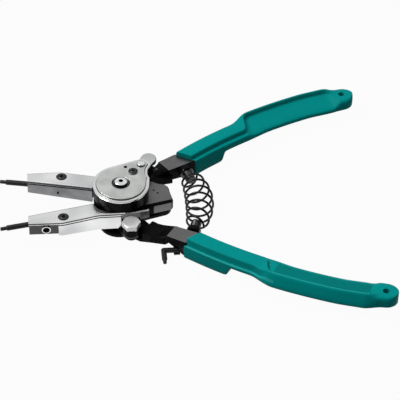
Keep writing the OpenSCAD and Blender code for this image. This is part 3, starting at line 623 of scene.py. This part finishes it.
bolt = domed_head(radius=4.1, low=CAP_TOP - 0.2, high=BOLT_TOP, flats=2.7, depth=1.9, shank=3.5)
reworked("pivot_bolt", [bolt], [bright_steel, oiled_black], bolt_painted_shade)
washer = [(0, 25.32), (5.15, 25.32), (5.2, 25.7), (5.1, 25.95), (4.8, 26.0), (0, 26.0)]
reworked("bolt_washer", [turned(washer)], [dark_steel])
cover_screw = placed(ringed_head(radius=2.9, high=0.9, flats=2.2, depth=0.8), (*COVER_SCREW, CAP_TOP))
reworked("cover_screw", [cover_screw], [dark_steel])
pin_head = [(0, 11.4), (2, 11.4), (2, 26.2), (2.7, 26.2), (2.7, 26.8), (2.5, 27.15), (2.0, 27.35), (0, 27.4)]
# The pin's sides are painted black as shade below its bright domed top.
reworked(
    "pawl_pin", [placed(turned(pin_head), (*LEVER_PIN, 0))], [bright_steel, oiled_black],
    lambda face: face.normal.z < 0.4,
)
print("bolt head top", BOLT_TOP, "mm")

# %% Jaw screws and nuts
JAW_TOP = 17.0
JAW_PIN = (5, 23)
SCREW_R = 2.7
TOP_SCREW, TOP_SHADE_RING_R = (-35.5, 18.6), 3.3
SIDE_SCREW, SIDE_HEAD, SIDE_PAINTED_SHADE_R = (-46, 23.95, 12.2), 0.9, 2.0
NUT_FLATS = {"near": 10, "far": 9}
NUT_LOW, NUT_HIGH = 11.4, 15

for side, sign in SIDES.items():
    middle = (TOP_SCREW[0], sign * TOP_SCREW[1])
    head = placed(ringed_head(radius=SCREW_R, high=0.45, flats=2.4, depth=0.9), (*middle, JAW_TOP))
    # A black disc a little wider than the head is painted shade: it stands for the shaded recess round the
    # head.
    recess = slab(disc(middle, TOP_SHADE_RING_R), JAW_TOP - 0.4, JAW_TOP + 0.03, 0)
    reworked(
        side + "_top_screw", [head, recess], [dark_steel, oiled_black],
        lambda face: centre_of(face).z < JAW_TOP + 0.1,
    )
    x, y, z = SIDE_SCREW
    outward = Matrix.Rotation(math.radians(-90 * sign), 4, "X")
    head = ringed_head(radius=SCREW_R, high=SIDE_HEAD, flats=2.2, depth=0.8)
    socket = Vector((x, sign * (y + SIDE_HEAD), z))
    # The middle of each head, round its socket, is painted black as shade inside a bright rim.
    reworked(
        side + "_side_screw", [placed(head, (x, sign * y, z), outward)], [bright_steel, oiled_black],
        lambda face: (centre_of(face) - socket).length < SIDE_PAINTED_SHADE_R,
    )
    nut = placed(hex_nut(NUT_FLATS[side], NUT_LOW, NUT_HIGH), (JAW_PIN[0], sign * JAW_PIN[1], 0))
    reworked(side + "_jaw_nut", [nut], [milky_zinc])
    recoloured(side + "_jaw_pin", oiled_black)
print("screws and nuts on both sides")

# %% [markdown]
# ## The covered hub
# The black hub carries a stamped plate whose arm reaches out to the thumb lever's pin, and on the
# plate lies a smaller cap of the same outline. The plate's rim is polished and the cap is satin.
# The edges are rolled, and a thin black ring round the cap's foot is painted shade that draws a dark
# line there. The cap's recess wall and the plate's downward faces are painted black as shade.

# %% Hub and cover
PLATE_R, CAP_R, ARM_R = 17.2, 15.0, 5.7
CAP_INSET, SHADE_RING_WIDE = 1.7, 0.25
ARM_HOLLOW, HOLLOW_R = (28, 9.5), 11.3
HUB_TOP, PLATE_TOP = 24, 25.3
RECESS_R = 5.5
VENT, VENT_R, VENT_LOW = (3.6, 14.6, 0), 1.1, 25.6
DOT_PROUD = 0.012


def cover_outline(radius, inset):
    """The cover's round body and its arm, whose edge lies inset from the plate's."""
    return bitten(link((0, 0), radius, LEVER_PIN, ARM_R - inset), ARM_HOLLOW, HOLLOW_R + inset)


def recess_wall_painted_shade(face):
    """The wall of the cap's round recess, which is painted black as shade."""
    return face.normal.z < 0.2 and centre_of(face).xy.length < RECESS_R + 0.1


def dot(radius, low, high, steps=32):
    """A small black disc that hardly stands proud, and reads as a hole."""
    return turned([(0, low), (radius, low), (radius, high), (0, high)], steps)


softened("hub", 0.4, [oiled_black])
# The plate's downward faces are painted black as shade under its polished rim.
reworked(
    "cover_plate", [slab(cover_outline(PLATE_R, 0), HUB_TOP, PLATE_TOP, 0.35)],
    [bright_nickel, oiled_black], lambda face: face.normal.z < -0.3,
)
# A thin black ring round the cap's foot is painted shade: it draws the dark line there.
seam = cover_outline(CAP_R + SHADE_RING_WIDE, CAP_INSET - SHADE_RING_WIDE)
seam = slab(seam, PLATE_TOP - 0.05, PLATE_TOP + 0.06, 0)
shown("cover_painted_shade_ring", [seam], "carrier", [oiled_black])
cap = slab(cover_outline(CAP_R, CAP_INSET), PLATE_TOP, CAP_TOP, 0.25, hole=disc((0, 0), RECESS_R))
reworked("cover_cap", [cap], [satin_nickel, oiled_black], recess_wall_painted_shade)
vent = placed(dot(VENT_R, VENT_LOW, CAP_TOP + DOT_PROUD), VENT)
shown("cover_vent", [vent], "carrier", [oiled_black])
print("cover plate", 2 * PLATE_R, "mm across, cap", 2 * CAP_R)

# %% [markdown]
# ## The thumb lever
# A stamped lever turns on the same pin under the cover's arm. Its pad is round and bright on top,
# its sides and a disc under the pad are painted black as shade, and the pawl hangs below it.

# %% Thumb lever
PAD_AT, PAD_R = polar(LEVER_PIN, 10, math.radians(59)), 4.8
LEVER_ROOT_R = 4.1
LEVER_LOW, LEVER_TOP = 21.6, 23.7
lever = slab(link(PAD_AT, PAD_R, LEVER_PIN, LEVER_ROOT_R), LEVER_LOW, LEVER_TOP, 0.6)
# A thin disc under the pad is painted black as shade, like the lever's sides below.
pad = slab(disc(PAD_AT, PAD_R - 0.02), LEVER_LOW - 1, LEVER_LOW + 0.2)
reworked(
    "thumb_lever", [lever, pad], [satin_nickel, oiled_black], lambda face: face.normal.z < 0.45
)
softened("pawl", 0.1, [forged_black])
recoloured("pawl_spring", spring_black)
print("pad at", [round(x, 1) for x in PAD_AT])

# %% [markdown]
# ## The carrier and the rear block
# The carrier plate turns between the two handle heads. A disc and an upright rib close the view
# between the jaws' roots, as the wider body of the real tool does. Behind the hub lies a block
# with a ground top, a step round its edge and two small dimples.

# %% Carrier and block
WIDE_BODY_R = 16.9
GROUND_FROM = 19.5
BLOCK_LOW, BLOCK_STEP, BLOCK_TOP, STEP_WIDE = 8.5, 14.7, 16.3, 0.6
DIMPLES, DIMPLE_R = ((20.2, 3.3), (22.4, 0.6)), 0.7
RIB = [(-16.6, -1.4), (-11.8, -1.4), (-11.8, 1.4), (-16.6, 1.4)]


def block_outline(grow):
    """The rear block's outline, its walls moved outwards by grow."""
    return [
        (9, -11.6 - grow), (30.6, -6 - grow), (31 + grow, -4.6), (29.6 + grow, 2.1), (29 + grow, 6.4 + grow),
        (27 + grow, 8.4 + grow), (22.7, 9.6 + grow), (19.6, 11.8 + grow), (9, 11.8 + grow),
    ]


plate = round_edges(cad_shape("base_plate"), 0.3, 2, clamp=True)
reworked(
    "base_plate", [plate, slab(disc((0, 0), WIDE_BODY_R), 3.0, 5.2), slab(RIB, 5.1, 17.4)],
    [oiled_black],
)
block = slab(block_outline(STEP_WIDE), BLOCK_LOW, BLOCK_STEP, 0.45)
block = cut_along(block, (GROUND_FROM, 0, 0), (1, 0, 0))
reworked(
    "rear_block", [block], [oiled_black, ground_black],
    lambda face: face.normal.y < -0.8 and centre_of(face).x > GROUND_FROM,
)
reworked(
    "rear_cap", [slab(block_outline(0), BLOCK_STEP + 0.02, BLOCK_TOP, 0.35)],
    [oiled_black, ground_black], lambda face: face.normal.z > 0.97,
)
dimples = [placed(dot(DIMPLE_R, -0.3, DOT_PROUD, 24), (*place, BLOCK_TOP)) for place in DIMPLES]
shown("cap_dimples", dimples, "carrier", [oiled_black])
softened("rear_post", 0.3, [oiled_black])
print("carrier dressed")

# %% [markdown]
# ## The forged handles
# Each handle is one forging: a flat head on the central bolt, a foot and a shoulder that step up
# beside the jaw's pin, a web behind it, and a thick neck that deepens towards the grip. The near
# handle's head also has a round lobe, and the far handle carries the toothed wall for the pawl.
# Only the necks are ground, on top.

# %% Grip centre line
GRIP_START = Vector((39.3, 36.2))
GRIP_BEND = Vector((87.3, 75.2))
GRIP_END = Vector((154.5, 94.6))
RAKE = 0.05


def grip_at(t):
    return (1 - t) ** 2 * GRIP_START + 2 * t * (1 - t) * GRIP_BEND + t * t * GRIP_END


def grip_dir(t):
    return ((1 - t) * (GRIP_BEND - GRIP_START) + t * (GRIP_END - GRIP_BEND)).normalized()


def grip_side(t):
    return Vector((-grip_dir(t).y, grip_dir(t).x))


def ramp(t, a, b):
    """Rises smoothly from 0 to 1 while t goes from a to b."""
    u = min(1, max(0, (t - a) / (b - a)))
    return u * u * (3 - 2 * u)


print("grip runs from", tuple(GRIP_START), "to", tuple(GRIP_END))

# %% Forgings
NECK_Z, NECK_TOP = 4.4, 12.4
HEAD, DRIVE_BOSS_R = ((0, 0), 7.2, (15.5, 18.5), 4.5), 3.5
NEAR_LOBE = ((-1.5, 8.3), 12.2)
PLATE_T, HEAD_LEVEL = 2.6, {"near": 0.02, "far": 5.6}
SHOULDER_TOP, SHOULDER_BITE = 8.2, 6.15
FOOT = [
    (12.9, 15), (15.7, 18.6), (18.2, 22), (21.8, 24.7), (25.1, 26.2), (16, 26.4), (10, 25), (7.3, 22.9),
    (4.3, 20.2), (6, 15),
]
SHOULDER = [
    (12.5, 14.6), (16, 18.4), (18.5, 21.8), (22, 24.4), (32.2, 26.6), (24.9, 31.6), (16, 29.2),
    (11.4, 25.8), (10.6, 19),
]
WEB = [
    (16, 18.2), (18.0, 15.6), (19.4, 16.2), (21.4, 18), (24.1, 19.3), (28.2, 20.4), (33.2, 21.4), (33.5, 27),
    (22, 24.6), (18.4, 21.6),
]
WEB_LOW, WEB_TOP = 5.65, 8.1
# The toothed wall: counts and angles in degrees, then radii, then heights
TEETH, TOOTH_FROM, TOOTH_PITCH = 8, 42, 3.5
WALL_FROM, STEM_FROM, WALL_TO = 40.5, 52, 69
TOOTH_TIP, TOOTH_ROOT, TOOTH_BACK, WALL_INNER, WALL_OUTER = 27.6, 29.3, 30.2, 29.6, 32
WALL_LOW, TOOTH_LOW, WALL_TOP = 13.7, 15.32, 18.3
drive_low, drive_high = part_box("far_drive_pin")
DRIVE_PIN = ((drive_low + drive_high) / 2 / MM).xy


def at_height(outline, height):
    return [(x, y, height) for x, y in outline]


def neck_outline(corner):
    """The neck between the shoulder and the grip's raked front."""
    return [
        Vector((31, 25.5)), Vector(corner), grip_at(0) + 6.3 * grip_side(0) + 0.8 * grip_dir(0),
        grip_at(RAKE) - 7.2 * grip_side(RAKE) + 0.8 * grip_dir(RAKE),
    ]


def handle_shapes(side):
    """Head, foot, shoulder, neck, slope, web and keel of a handle, as on the far side."""
    level = HEAD_LEVEL[side]
    low, high = neck_outline((26.5, 31.5)), neck_outline((24.8, 34.6))
    neck = [at_height(low, NECK_Z), at_height(low, 4.9), at_height(high, 7.8), at_height(high, NECK_TOP)]
    step = [(22.9, 25.2), (18.4, 29.8), (24.4, 31.4), (30.5, 26)]
    crest = [(31.3, 26.1), (25.4, 34.4), (26.6, 35.2), (32.5, 26.9)]
    slope = [at_height(step, 4.9), at_height(step, 7.8), at_height(crest, NECK_TOP - 0.2)]
    keel = [
        [(26.5, 31.5, NECK_Z), (31, 25.5, NECK_Z), (31, 25.5, 5.4), (26.5, 31.5, 5.4)],
        [(*low[2], 1.4), (*low[3], 1.4), (*low[3], 5.4), (*low[2], 5.4)],
    ]
    return [
        slab(link(*HEAD), level, level + PLATE_T - 0.02),
        slab(disc(DRIVE_PIN, DRIVE_BOSS_R), level + 0.01, level + PLATE_T - 0.03),
        slab(FOOT, 0.01, PLATE_T - 0.01, 0.35),
        slab(bitten(SHOULDER, JAW_PIN, SHOULDER_BITE), PLATE_T - 0.05, SHOULDER_TOP, 0.35),
        round_edges(lofted(neck), 0.45), round_edges(lofted(slope), 0.3), slab(WEB, WEB_LOW, WEB_TOP),
        round_edges(lofted(keel), 0.3),
    ]


def ring_wall(start, end, low, high):
    """A piece of the toothed wall about the pivot, between two angles."""
    start, end = math.radians(start), math.radians(end)
    outline = arc((0, 0), WALL_OUTER, start, end) + arc((0, 0), WALL_INNER, end, start)
    return slab(outline, low, high, 0.25)


def ratchet_teeth():
    """Saw teeth inside the ring wall."""
    start = math.radians(TOOTH_FROM - 1)
    tips = [math.radians(TOOTH_FROM + TOOTH_PITCH * i) for i in range(TEETH)]
    outline = [polar((0, 0), TOOTH_TIP + 0.5, start)]
    for angle in tips:
        outline += [polar((0, 0), TOOTH_TIP, angle), polar((0, 0), TOOTH_ROOT, angle)]
    return slab(outline + arc((0, 0), TOOTH_BACK, tips[-1], start, 12), TOOTH_LOW, WALL_TOP - 0.02, 0)


def neck_top(face):
    return face.normal.z > 0.97 and centre_of(face).z > NECK_TOP - 0.1


wall_stem = ring_wall(STEM_FROM, WALL_TO, PLATE_T, WALL_LOW + 0.1)
own_shapes = {
    "near": [slab(disc(*NEAR_LOBE), 0.03, PLATE_T - 0.02, 0.35)],
    "far": [wall_stem, ring_wall(WALL_FROM, WALL_TO, WALL_LOW, WALL_TOP), ratchet_teeth()],
}
for side in SIDES:
    reworked(
        side + "_forging", on_side(side, handle_shapes(side) + own_shapes[side]),
        [forged_black, ground_black], neck_top,
    )
print("neck top at", NECK_TOP, "mm")

# %% Small black and bright pieces
BOSS_FROM, BOSS_R = 6.4, 5.8


def boss_side(face):
    """The upper part of the round boss on a jaw's pin, which is turned and oiled."""
    centre = centre_of(face)
    off_pin = (Vector((centre.x, abs(centre.y))) - Vector(JAW_PIN)).length
    return off_pin < BOSS_R and centre.z > BOSS_FROM


for side in SIDES:
    core = cut_along(cad_shape(side + "_jaw_core"), (0, 0, BOSS_FROM), (0, 0, 1))
    reworked(side + "_jaw_core", [core], [dark_steel, oiled_black], boss_side)
softened("clip_screw", 0.15, [oiled_black])
for node in ("near_tip", "far_tip", "stowed_tip"):
    softened(node, 0.2, [phosphate])
for node in ("stowage_clip", "near_drive_pin", "far_drive_pin"):
    softened(node, 0.15, [bright_steel])
print("small pieces dressed")

# %% Spring seats
SEAT_ROOT, SEAT_LEAN = (41.6, 29.7, 9), math.atan2(-6.2, 1.9)
COLLAR_HIGH = 4.0
THREADS, THREAD_PITCH = 7, 0.8


def spring_seat():
    """A collar on the far neck with a threaded stud that the spring's first coils grip."""
    profile = [(0, 0), (4.4, 0), (4.4, 3.2), (4.1, 3.6), (3.0, 3.8)]
    for i in range(THREADS):
        foot = 4.6 + THREAD_PITCH * i
        profile += [(2.9, foot), (3.25, foot + 0.3), (3.25, foot + 0.5)]
    stand = Matrix.Rotation(SEAT_LEAN, 4, "Z") @ Matrix.Rotation(math.pi / 2, 4, "Y")
    return placed(turned(profile + [(2.9, 10.2), (2.5, 10.5), (0, 10.6)], 36), SEAT_ROOT, stand)


def on_thread(face):
    centre = centre_of(face)
    return (Vector(SEAT_ROOT).xy - Vector((centre.x, abs(centre.y)))).length > COLLAR_HIGH


for side in SIDES:
    reworked(
        side + "_spring_seat", on_side(side, [spring_seat()]), [oiled_black, dark_steel],
        on_thread,
    )
print("threads on a seat", THREADS)

# %% [markdown]
# ## The jaws' bright shells
# Each jaw is a channel folded from one sheet: a flat top with generous bends, an inner wall along
# its whole front part, and an outer wall that starts behind the black block of the tip. The
# section is an upside-down U, and it is carried along the jaw. A small groove runs below each
# bend, and its faces are painted black as shade, which draws the dark line that runs along the jaw.
# The walls that face the centre line are painted a darker chrome as shade.

# %% Jaw shells
SHEET, ROOF_Z, BEND_R = 1.4, 15.5, 1.6
SEAM_LOW, SEAM_HIGH, SEAM_DEPTH = 14.55, 15.3, 0.35
# Where the outer wall starts behind the tip's block, where each wall ends, and a wall's end step
WINDOW_X, INNER_END, OUTER_END, STEP = -38.6, -16.3, -0.8, 0.02
# The jaw's edges in plan, and the height of its walls' feet
INNER_LINE = [(-56.5, 15.6), (-17.3, 6.8)]
OUTER_LINE = [(-56.5, 23.8), (-36, 24), (-14.5, 18.5), (8, 18)]
LOW_LINE = [(-57.5, 8.2), (-14.5, 5.7)]
# The hub's column, and the two places that it takes beside the jaw while the jaw closes
SWEEP_R, SWEEP_CENTRES = 12.8, ((0, 0), (-2.8, 0.8), (-5.4, 1.9))
# Behind this place the jaw's edge lies no nearer to the centre line than this
REAR_X, REAR_EDGE = -2.9, 14.4
SIDE_HOLE_X, SIDE_HOLE_Z, SIDE_HOLE_R = -37.6, 10.3, 1.1


def on_line(line, x):
    """The line's y at x, carried on past its ends."""
    (ax, ay), (bx, by) = next((a, b) for a, b in zip(line, line[1:]) if x < b[0] or b == line[-1])
    return ay + (by - ay) * (x - ax) / (bx - ax)


def inner_edge(x):
    """The jaw's edge beside the centre line, cut back round the hub's column."""
    if x < INNER_LINE[-1][0]:
        return on_line(INNER_LINE, x)
    near = [(cx, cy) for cx, cy in SWEEP_CENTRES if abs(x - cx) < SWEEP_R]
    reach = [cy + math.sqrt(SWEEP_R ** 2 - (x - cx) ** 2) for cx, cy in near]
    return max(reach + ([REAR_EDGE] if x > REAR_X else []))


def u_section(x, inner_low, outer_low):
    """The channel's section at x: over its outer face and back inside the sheet."""
    a, b = inner_edge(x), on_line(OUTER_LINE, x)
    bend = min(BEND_R, (b - a) / 2.3)
    inside, roof, quarter = max(bend - SHEET, 0.15), JAW_TOP - SHEET, math.pi / 2
    seam = [(0, 0), (0, SEAM_LOW), (SEAM_DEPTH, SEAM_LOW), (SEAM_DEPTH, SEAM_HIGH), (0, SEAM_HIGH)]
    over = [(a + depth, z) for depth, z in seam]
    over += arc((a + bend, JAW_TOP - bend), bend, 2 * quarter, quarter, 6)
    over += arc((b - bend, JAW_TOP - bend), bend, quarter, 0, 6)
    over += [(b - depth, z) for depth, z in reversed(seam)]
    under = [(b - SHEET, 0)] + arc((b - SHEET - inside, roof - inside), inside, 0, quarter, 3)
    under += arc((a + SHEET + inside, roof - inside), inside, quarter, 2 * quarter, 3) + [(a + SHEET, 0)]
    middle = (a + b) / 2
    return [(x, y, max(z, inner_low if y < middle else outer_low)) for y, z in over + under]


def jaw_shell():
    """The far jaw's shell as one loft from front to rear."""
    stations = [
        -56.5, -50, -44, WINDOW_X - STEP, WINDOW_X, -37.2, -36, -34.8, -30, -25, -20, -17.3,
        INNER_END - STEP, INNER_END, -15.4, -14.5, -13, -11.5, -10, -8, -6, -4.5, -3.2, REAR_X, -2.6,
        OUTER_END - STEP, OUTER_END, 1.5,
    ]
    rings = []
    for x in stations:
        low = max(on_line(LOW_LINE, x), LOW_LINE[-1][1])
        outer = WINDOW_X - STEP / 2 < x < OUTER_END - STEP / 2
        rings.append(u_section(x, low if x < INNER_END - STEP / 2 else ROOF_Z, low if outer else ROOF_Z))
    return lofted(rings)


def tongue():
    """A thin upright strip that carries the outer wall on past the near nut."""
    path = [Vector(p) for p in ((-5, 15.5), (7.7, 15.5), (16.3, 13.5))]
    half = Vector((0, 0.6))
    strip = [p + half for p in path] + [p - half for p in reversed(path)]
    start = path[1].lerp(path[2], 0.35)
    tail = [start + half, path[2] + half, path[2] - half, start - half]
    return [slab(strip, 11.2, 15.5, 0.2), slab(tail, 9.4, 15.3, 0.2)]


def jaw_finish_and_painted_shade(face, sign):
    """Painted shade: black in the groove below the bend and darker on the walls that face the centre line;
    bright elsewhere.
    """
    height = centre_of(face).z
    if SEAM_LOW - 0.01 < height < SEAM_HIGH + 0.01:
        return 2
    return 1 if face.normal.y * sign < -0.75 else 0


for side, sign in reversed(SIDES.items()):
    reworked(
        side + "_jaw_shell", on_side(side, [jaw_shell()]), [jaw_chrome, rough_shaded_chrome, oiled_black],
        lambda face: jaw_finish_and_painted_shade(face, sign),
    )
# The strip's face towards the centre line is painted black as shade.
shown(
    "near_jaw_tongue", on_side("near", tongue()), "near_jaw", [frosted_zinc, oiled_black],
    second=lambda face: face.normal.y > 0.5,
)
hole_at = (SIDE_HOLE_X, inner_edge(SIDE_HOLE_X) - 0.02, SIDE_HOLE_Z)
hole = placed(dot(SIDE_HOLE_R, -0.4, 0), hole_at, Matrix.Rotation(math.pi / 2, 4, "X"))
shown("far_side_hole", [hole], "far_jaw", [oiled_black])
print("sheet", SHEET, "mm, bends", BEND_R, "mm")

# %% [markdown]
# ## The grips
# A grip is moulded vinyl over the handle's tang. It has a deep front skirt with a flat top and a
# ledge on each side, then a long panel with a raised rim for the palm, and at the end a thin round
# tab with a hang hole. The two handles lie opposite ways up, so the near one shows a ridge and a
# groove where the far one shows its sunk panel. Sections along the curved centre line are lofted,
# a subdivision rounds them, and the hole is drilled last.

# %% Grips
GRIP_FINISHES = [vinyl, grained_shaded_vinyl, highlit_vinyl]
# Half widths in millimetres, with how much the outer one loses before the tab, then heights
GRIP_FRONT, GRIP_WIDE, GRIP_INNER, GRIP_LOSS = 6.8, 11.2, 8.0, 0.7
GRIP_TOP, GRIP_LOW, TAB_TOP, LEDGE_Z = 15.6, 7.0, 15.1, 12.4
# Insets from the outer edge and heights, then the same from the inner edge
SUNK_PANEL = (
    [
        (0.4, 11.4), (1.0, 13.2), (1.7, 14.8), (2.4, 16.5), (3.4, 17.1), (4.1, 17), (4.5, 16.1),
        (4.8, 14.6), (5.1, 14.0), (6.2, 13.7),
    ],
    [(1.6, 11.3), (0, 10.2)],
)
RIDGED_PANEL = (
    [
        (0.5, 11.2), (1.2, 13.0), (2.0, 14.9), (2.7, 16.5), (3.5, 17), (4.2, 16.9), (4.6, 15.9),
        (4.9, 14.5), (5.6, 14.4), (6.2, 15.1),
    ],
    [(2.2, 13.7), (0, 12.2)],
)
TAB_R, TAB_MID, HANG_R = 7.4, 0.6, 2.0
# Places along the centre line, from 0 at the front to 1 at the end
WIDENS, NARROWS = (0.35, 0.47), (0.75, 0.87)
SKIRT_END, SKIRT_SLOPE = 0.24, 0.012
PANEL_START, PANEL_END, HANG_AT = 0.42, 0.91, 0.955
hang_pull = (1 - HANG_AT) * (GRIP_BEND - GRIP_START) + HANG_AT * (GRIP_END - GRIP_BEND)
TAB_SPAN = TAB_R / (2 * hang_pull.length)


def tab_cut(t):
    return math.sqrt(max(0.004, 1 - (max(0, t - HANG_AT) / TAB_SPAN) ** 2))


def grip_out(t):
    """Half width on the outer side."""
    if t > HANG_AT:
        return TAB_R * tab_cut(t) - TAB_MID
    wide = GRIP_FRONT + (GRIP_WIDE - GRIP_FRONT) * ramp(t, *WIDENS) - GRIP_LOSS * ramp(t, *NARROWS)
    return wide - (GRIP_WIDE - GRIP_LOSS - TAB_R + TAB_MID) * ramp(t, NARROWS[1], HANG_AT)


def grip_in(t):
    """Half width on the inner side."""
    if t > HANG_AT:
        return TAB_R * tab_cut(t) + TAB_MID
    return GRIP_INNER - ramp(t, 0.4, 0.55) + ramp(t, 0.75, 0.88)


def front_section(a, b, z):
    """Outer side with its ledge first, over the flat top and down to the inner ledge."""
    top, ledge = GRIP_TOP, LEDGE_Z
    return [
        (a - 0.8, z), (a, z + 0.8), (a, 9.4), (a - 0.05, 10.0), (a - 1.1, 10.3), (a - 1.6, 10.8),
        (a - 1.7, top - 0.8), (a - 2.3, top), (-3.9, top), (-4.7, top - 0.5), (-4.9, ledge + 0.6),
        (-5.1, ledge), (-5.9, ledge), (1 - b, ledge + 0.1), (-b, ledge - 0.8), (-b, z + 0.8), (0.8 - b, z),
    ]


def long_section(a, b, z, panel):
    """The stretch behind the front: a rim on the outer side and the panel inside it."""
    outer, inner = panel
    section = [(a - 1.2, z), (a, z + 1.2), (a - 0.1, 9.6)] + [(a - inset, height) for inset, height in outer]
    return section + [(inset - b, height) for inset, height in inner] + [(-b, z + 1), (1 - b, z)]


def tab_section(a, b, z):
    """The thin flat end."""
    m, h, top = (a - b) / 2, (a + b) / 2, TAB_TOP
    sides = [(0.9, z), (1, z + 1.2), (1, 9.5), (1, 11), (0.99, 12.4), (0.97, 13.4), (0.9, top - 0.5)]
    sides += [(share, top) for share in (0.75, 0.5, 0.3, 0.1, -0.2, -0.5, -0.75)]
    sides += [(-1, top - 1.2), (-1, z + 1.2), (-0.9, z)]
    return [(m + share * h, height) for share, height in sides]


def mixed(p, q, share):
    return [Vector(a).lerp(Vector(b), share) for a, b in zip(p, q)]


def grip_ring(t, panel):
    """One section, set across the centre line; near the front its inner side lags behind."""
    a, b = grip_out(t), grip_in(t)
    z = GRIP_LOW * ramp(t, SKIRT_END - SKIRT_SLOPE, SKIRT_END + SKIRT_SLOPE)
    into_panel = ramp(t, PANEL_START - 0.025, PANEL_START + 0.02)
    section = mixed(front_section(a, b, z), long_section(a, b, z, panel), into_panel)
    section = mixed(section, tab_section(a, b, z), ramp(t, PANEL_END - 0.015, PANEL_END + 0.015))
    lag = RAKE * (1 - ramp(t, 0, 3 * RAKE))
    ring = []
    for across, height in section:
        w = t + lag * (a - across) / (a + b)
        ring.append((*(grip_at(w) + across * grip_side(w)), height))
    return ring


def grip(panel, strips):
    """A grip on the far side, lofted, rounded and drilled."""
    foot = [SKIRT_END + i * SKIRT_SLOPE / 2 for i in range(-2, 3)]
    ts = [0, 0.004] + [foot[0] * i / 9 for i in range(1, 9)] + foot
    ts += [foot[4] + (HANG_AT - foot[4]) * i / 44 for i in range(1, 45)]
    ts += [HANG_AT + TAB_SPAN * math.sin(math.pi / 2 * i / 9) for i in range(1, 10)]
    shape = lofted([grip_ring(t, panel) for t in ts], strips)
    caps = [f for f in shape.faces if len(f.verts) > 4]
    bmesh.ops.inset_individual(shape, faces=caps, thickness=0.5 * MM)
    drill = bmesh.new()
    bmesh.ops.create_cone(
        drill, cap_ends=True, segments=40, radius1=HANG_R * MM, radius2=HANG_R * MM, depth=40 * MM,
        matrix=Matrix.Translation((*(grip_at(HANG_AT) * MM), 10 * MM)),
    )
    cutter = link_object("drill", mesh_of("drill", drill))
    piece = link_object("grip", mesh_of("grip", shape, GRIP_FINISHES))
    rounding = piece.modifiers.new("rounding", "SUBSURF")
    rounding.levels = rounding.render_levels = 2
    drilling = piece.modifiers.new("drilling", "BOOLEAN")
    drilling.object = cutter
    drilling.operation = "DIFFERENCE"
    drilling.solver = "EXACT"
    drilled = bmesh.new()
    drilled.from_object(piece, bpy.context.evaluated_depsgraph_get())
    for used in (piece, cutter):
        bpy.data.objects.remove(used)
    return drilled


# Places in GRIP_FINISHES, and a section's spans by number. Along the grip, rings 0 to 28 are the
# skirt and the front, and the panel runs from ring 27 to ring 54.
# The lighter strips on the ledges and the near ridge are a painted highlight; the darker strips on the near
# panel are painted shade.
GRAINED_SHADED, SMOOTH_HIGHLIT = 1, 2
far_strips = [(SMOOTH_HIGHLIT, (4,), 0, 28)]
near_strips = [(SMOOTH_HIGHLIT, (3,), 0, 28), (SMOOTH_HIGHLIT, (7,), 27, 54), (GRAINED_SHADED, (9, 10, 11, 12), 27, 54)]
for side, panel, strips in (("far", SUNK_PANEL, far_strips), ("near", RIDGED_PANEL, near_strips)):
    reworked(side + "_grip", on_side(side, [grip(panel, strips)]), GRIP_FINISHES)


# %% [markdown]
# ## The return spring
# A barrel spring pushes the handles apart. It is wound from black wire, wider in the middle than
# at its seats, and bowed away from the pivot because the handles splay. A curve with a round
# section follows the same coil as the CAD piece, and it becomes a mesh between the handles.

# %% Return spring
SPRING_TURNS, STEPS_A_TURN = 7, 36
SPRING_MIDDLE_R, SPRING_END_R, SPRING_WIRE_R = 8.3, 5.4, 0.7
SPRING_FOOT, SPRING_BOW, SPRING_HEIGHT = (43.5, 23.5), 4.5, 9.0


def spring_points():
    """Points along the coil, in millimetres, from the near seat to the far one."""
    half_span = SPRING_FOOT[1] - SPRING_WIRE_R
    steps = SPRING_TURNS * STEPS_A_TURN
    for step in range(steps + 1):
        u = 2 * step / steps - 1
        turn = 2 * math.pi * SPRING_TURNS * step / steps
        radius = SPRING_END_R + (SPRING_MIDDLE_R - SPRING_END_R) * (1 - u * u)
        lean = math.atan2(-2 * SPRING_BOW * u, half_span)
        out = radius * math.cos(turn)
        yield Vector((
            SPRING_FOOT[0] + SPRING_BOW * (1 - u * u) + out * math.cos(lean),
            half_span * u - out * math.sin(lean),
            SPRING_HEIGHT + radius * math.sin(turn),
        )) * MM


def return_spring():
    """The wound wire as a mesh between the two handles."""
    curve = bpy.data.curves.new("return_spring_wire", "CURVE")
    curve.dimensions = "3D"
    curve.bevel_depth = SPRING_WIRE_R * MM
    curve.bevel_resolution = 3
    curve.use_fill_caps = True
    points = list(spring_points())
    line = curve.splines.new("POLY")
    line.points.add(len(points) - 1)
    for point, place in zip(line.points, points):
        point.co = (*place, 1)
    holder = link_object("return_spring_wire", curve)
    mesh = bpy.data.meshes.new_from_object(holder)
    bpy.data.objects.remove(holder)
    mesh.materials.append(spring_black)
    mesh.polygons.foreach_set("use_smooth", [True] * len(mesh.polygons))
    piece = link_object("return_spring_shown", mesh)
    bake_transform(piece)
    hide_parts("return_spring")
    return piece


spring = return_spring()
print("spring faces", len(spring.data.polygons))
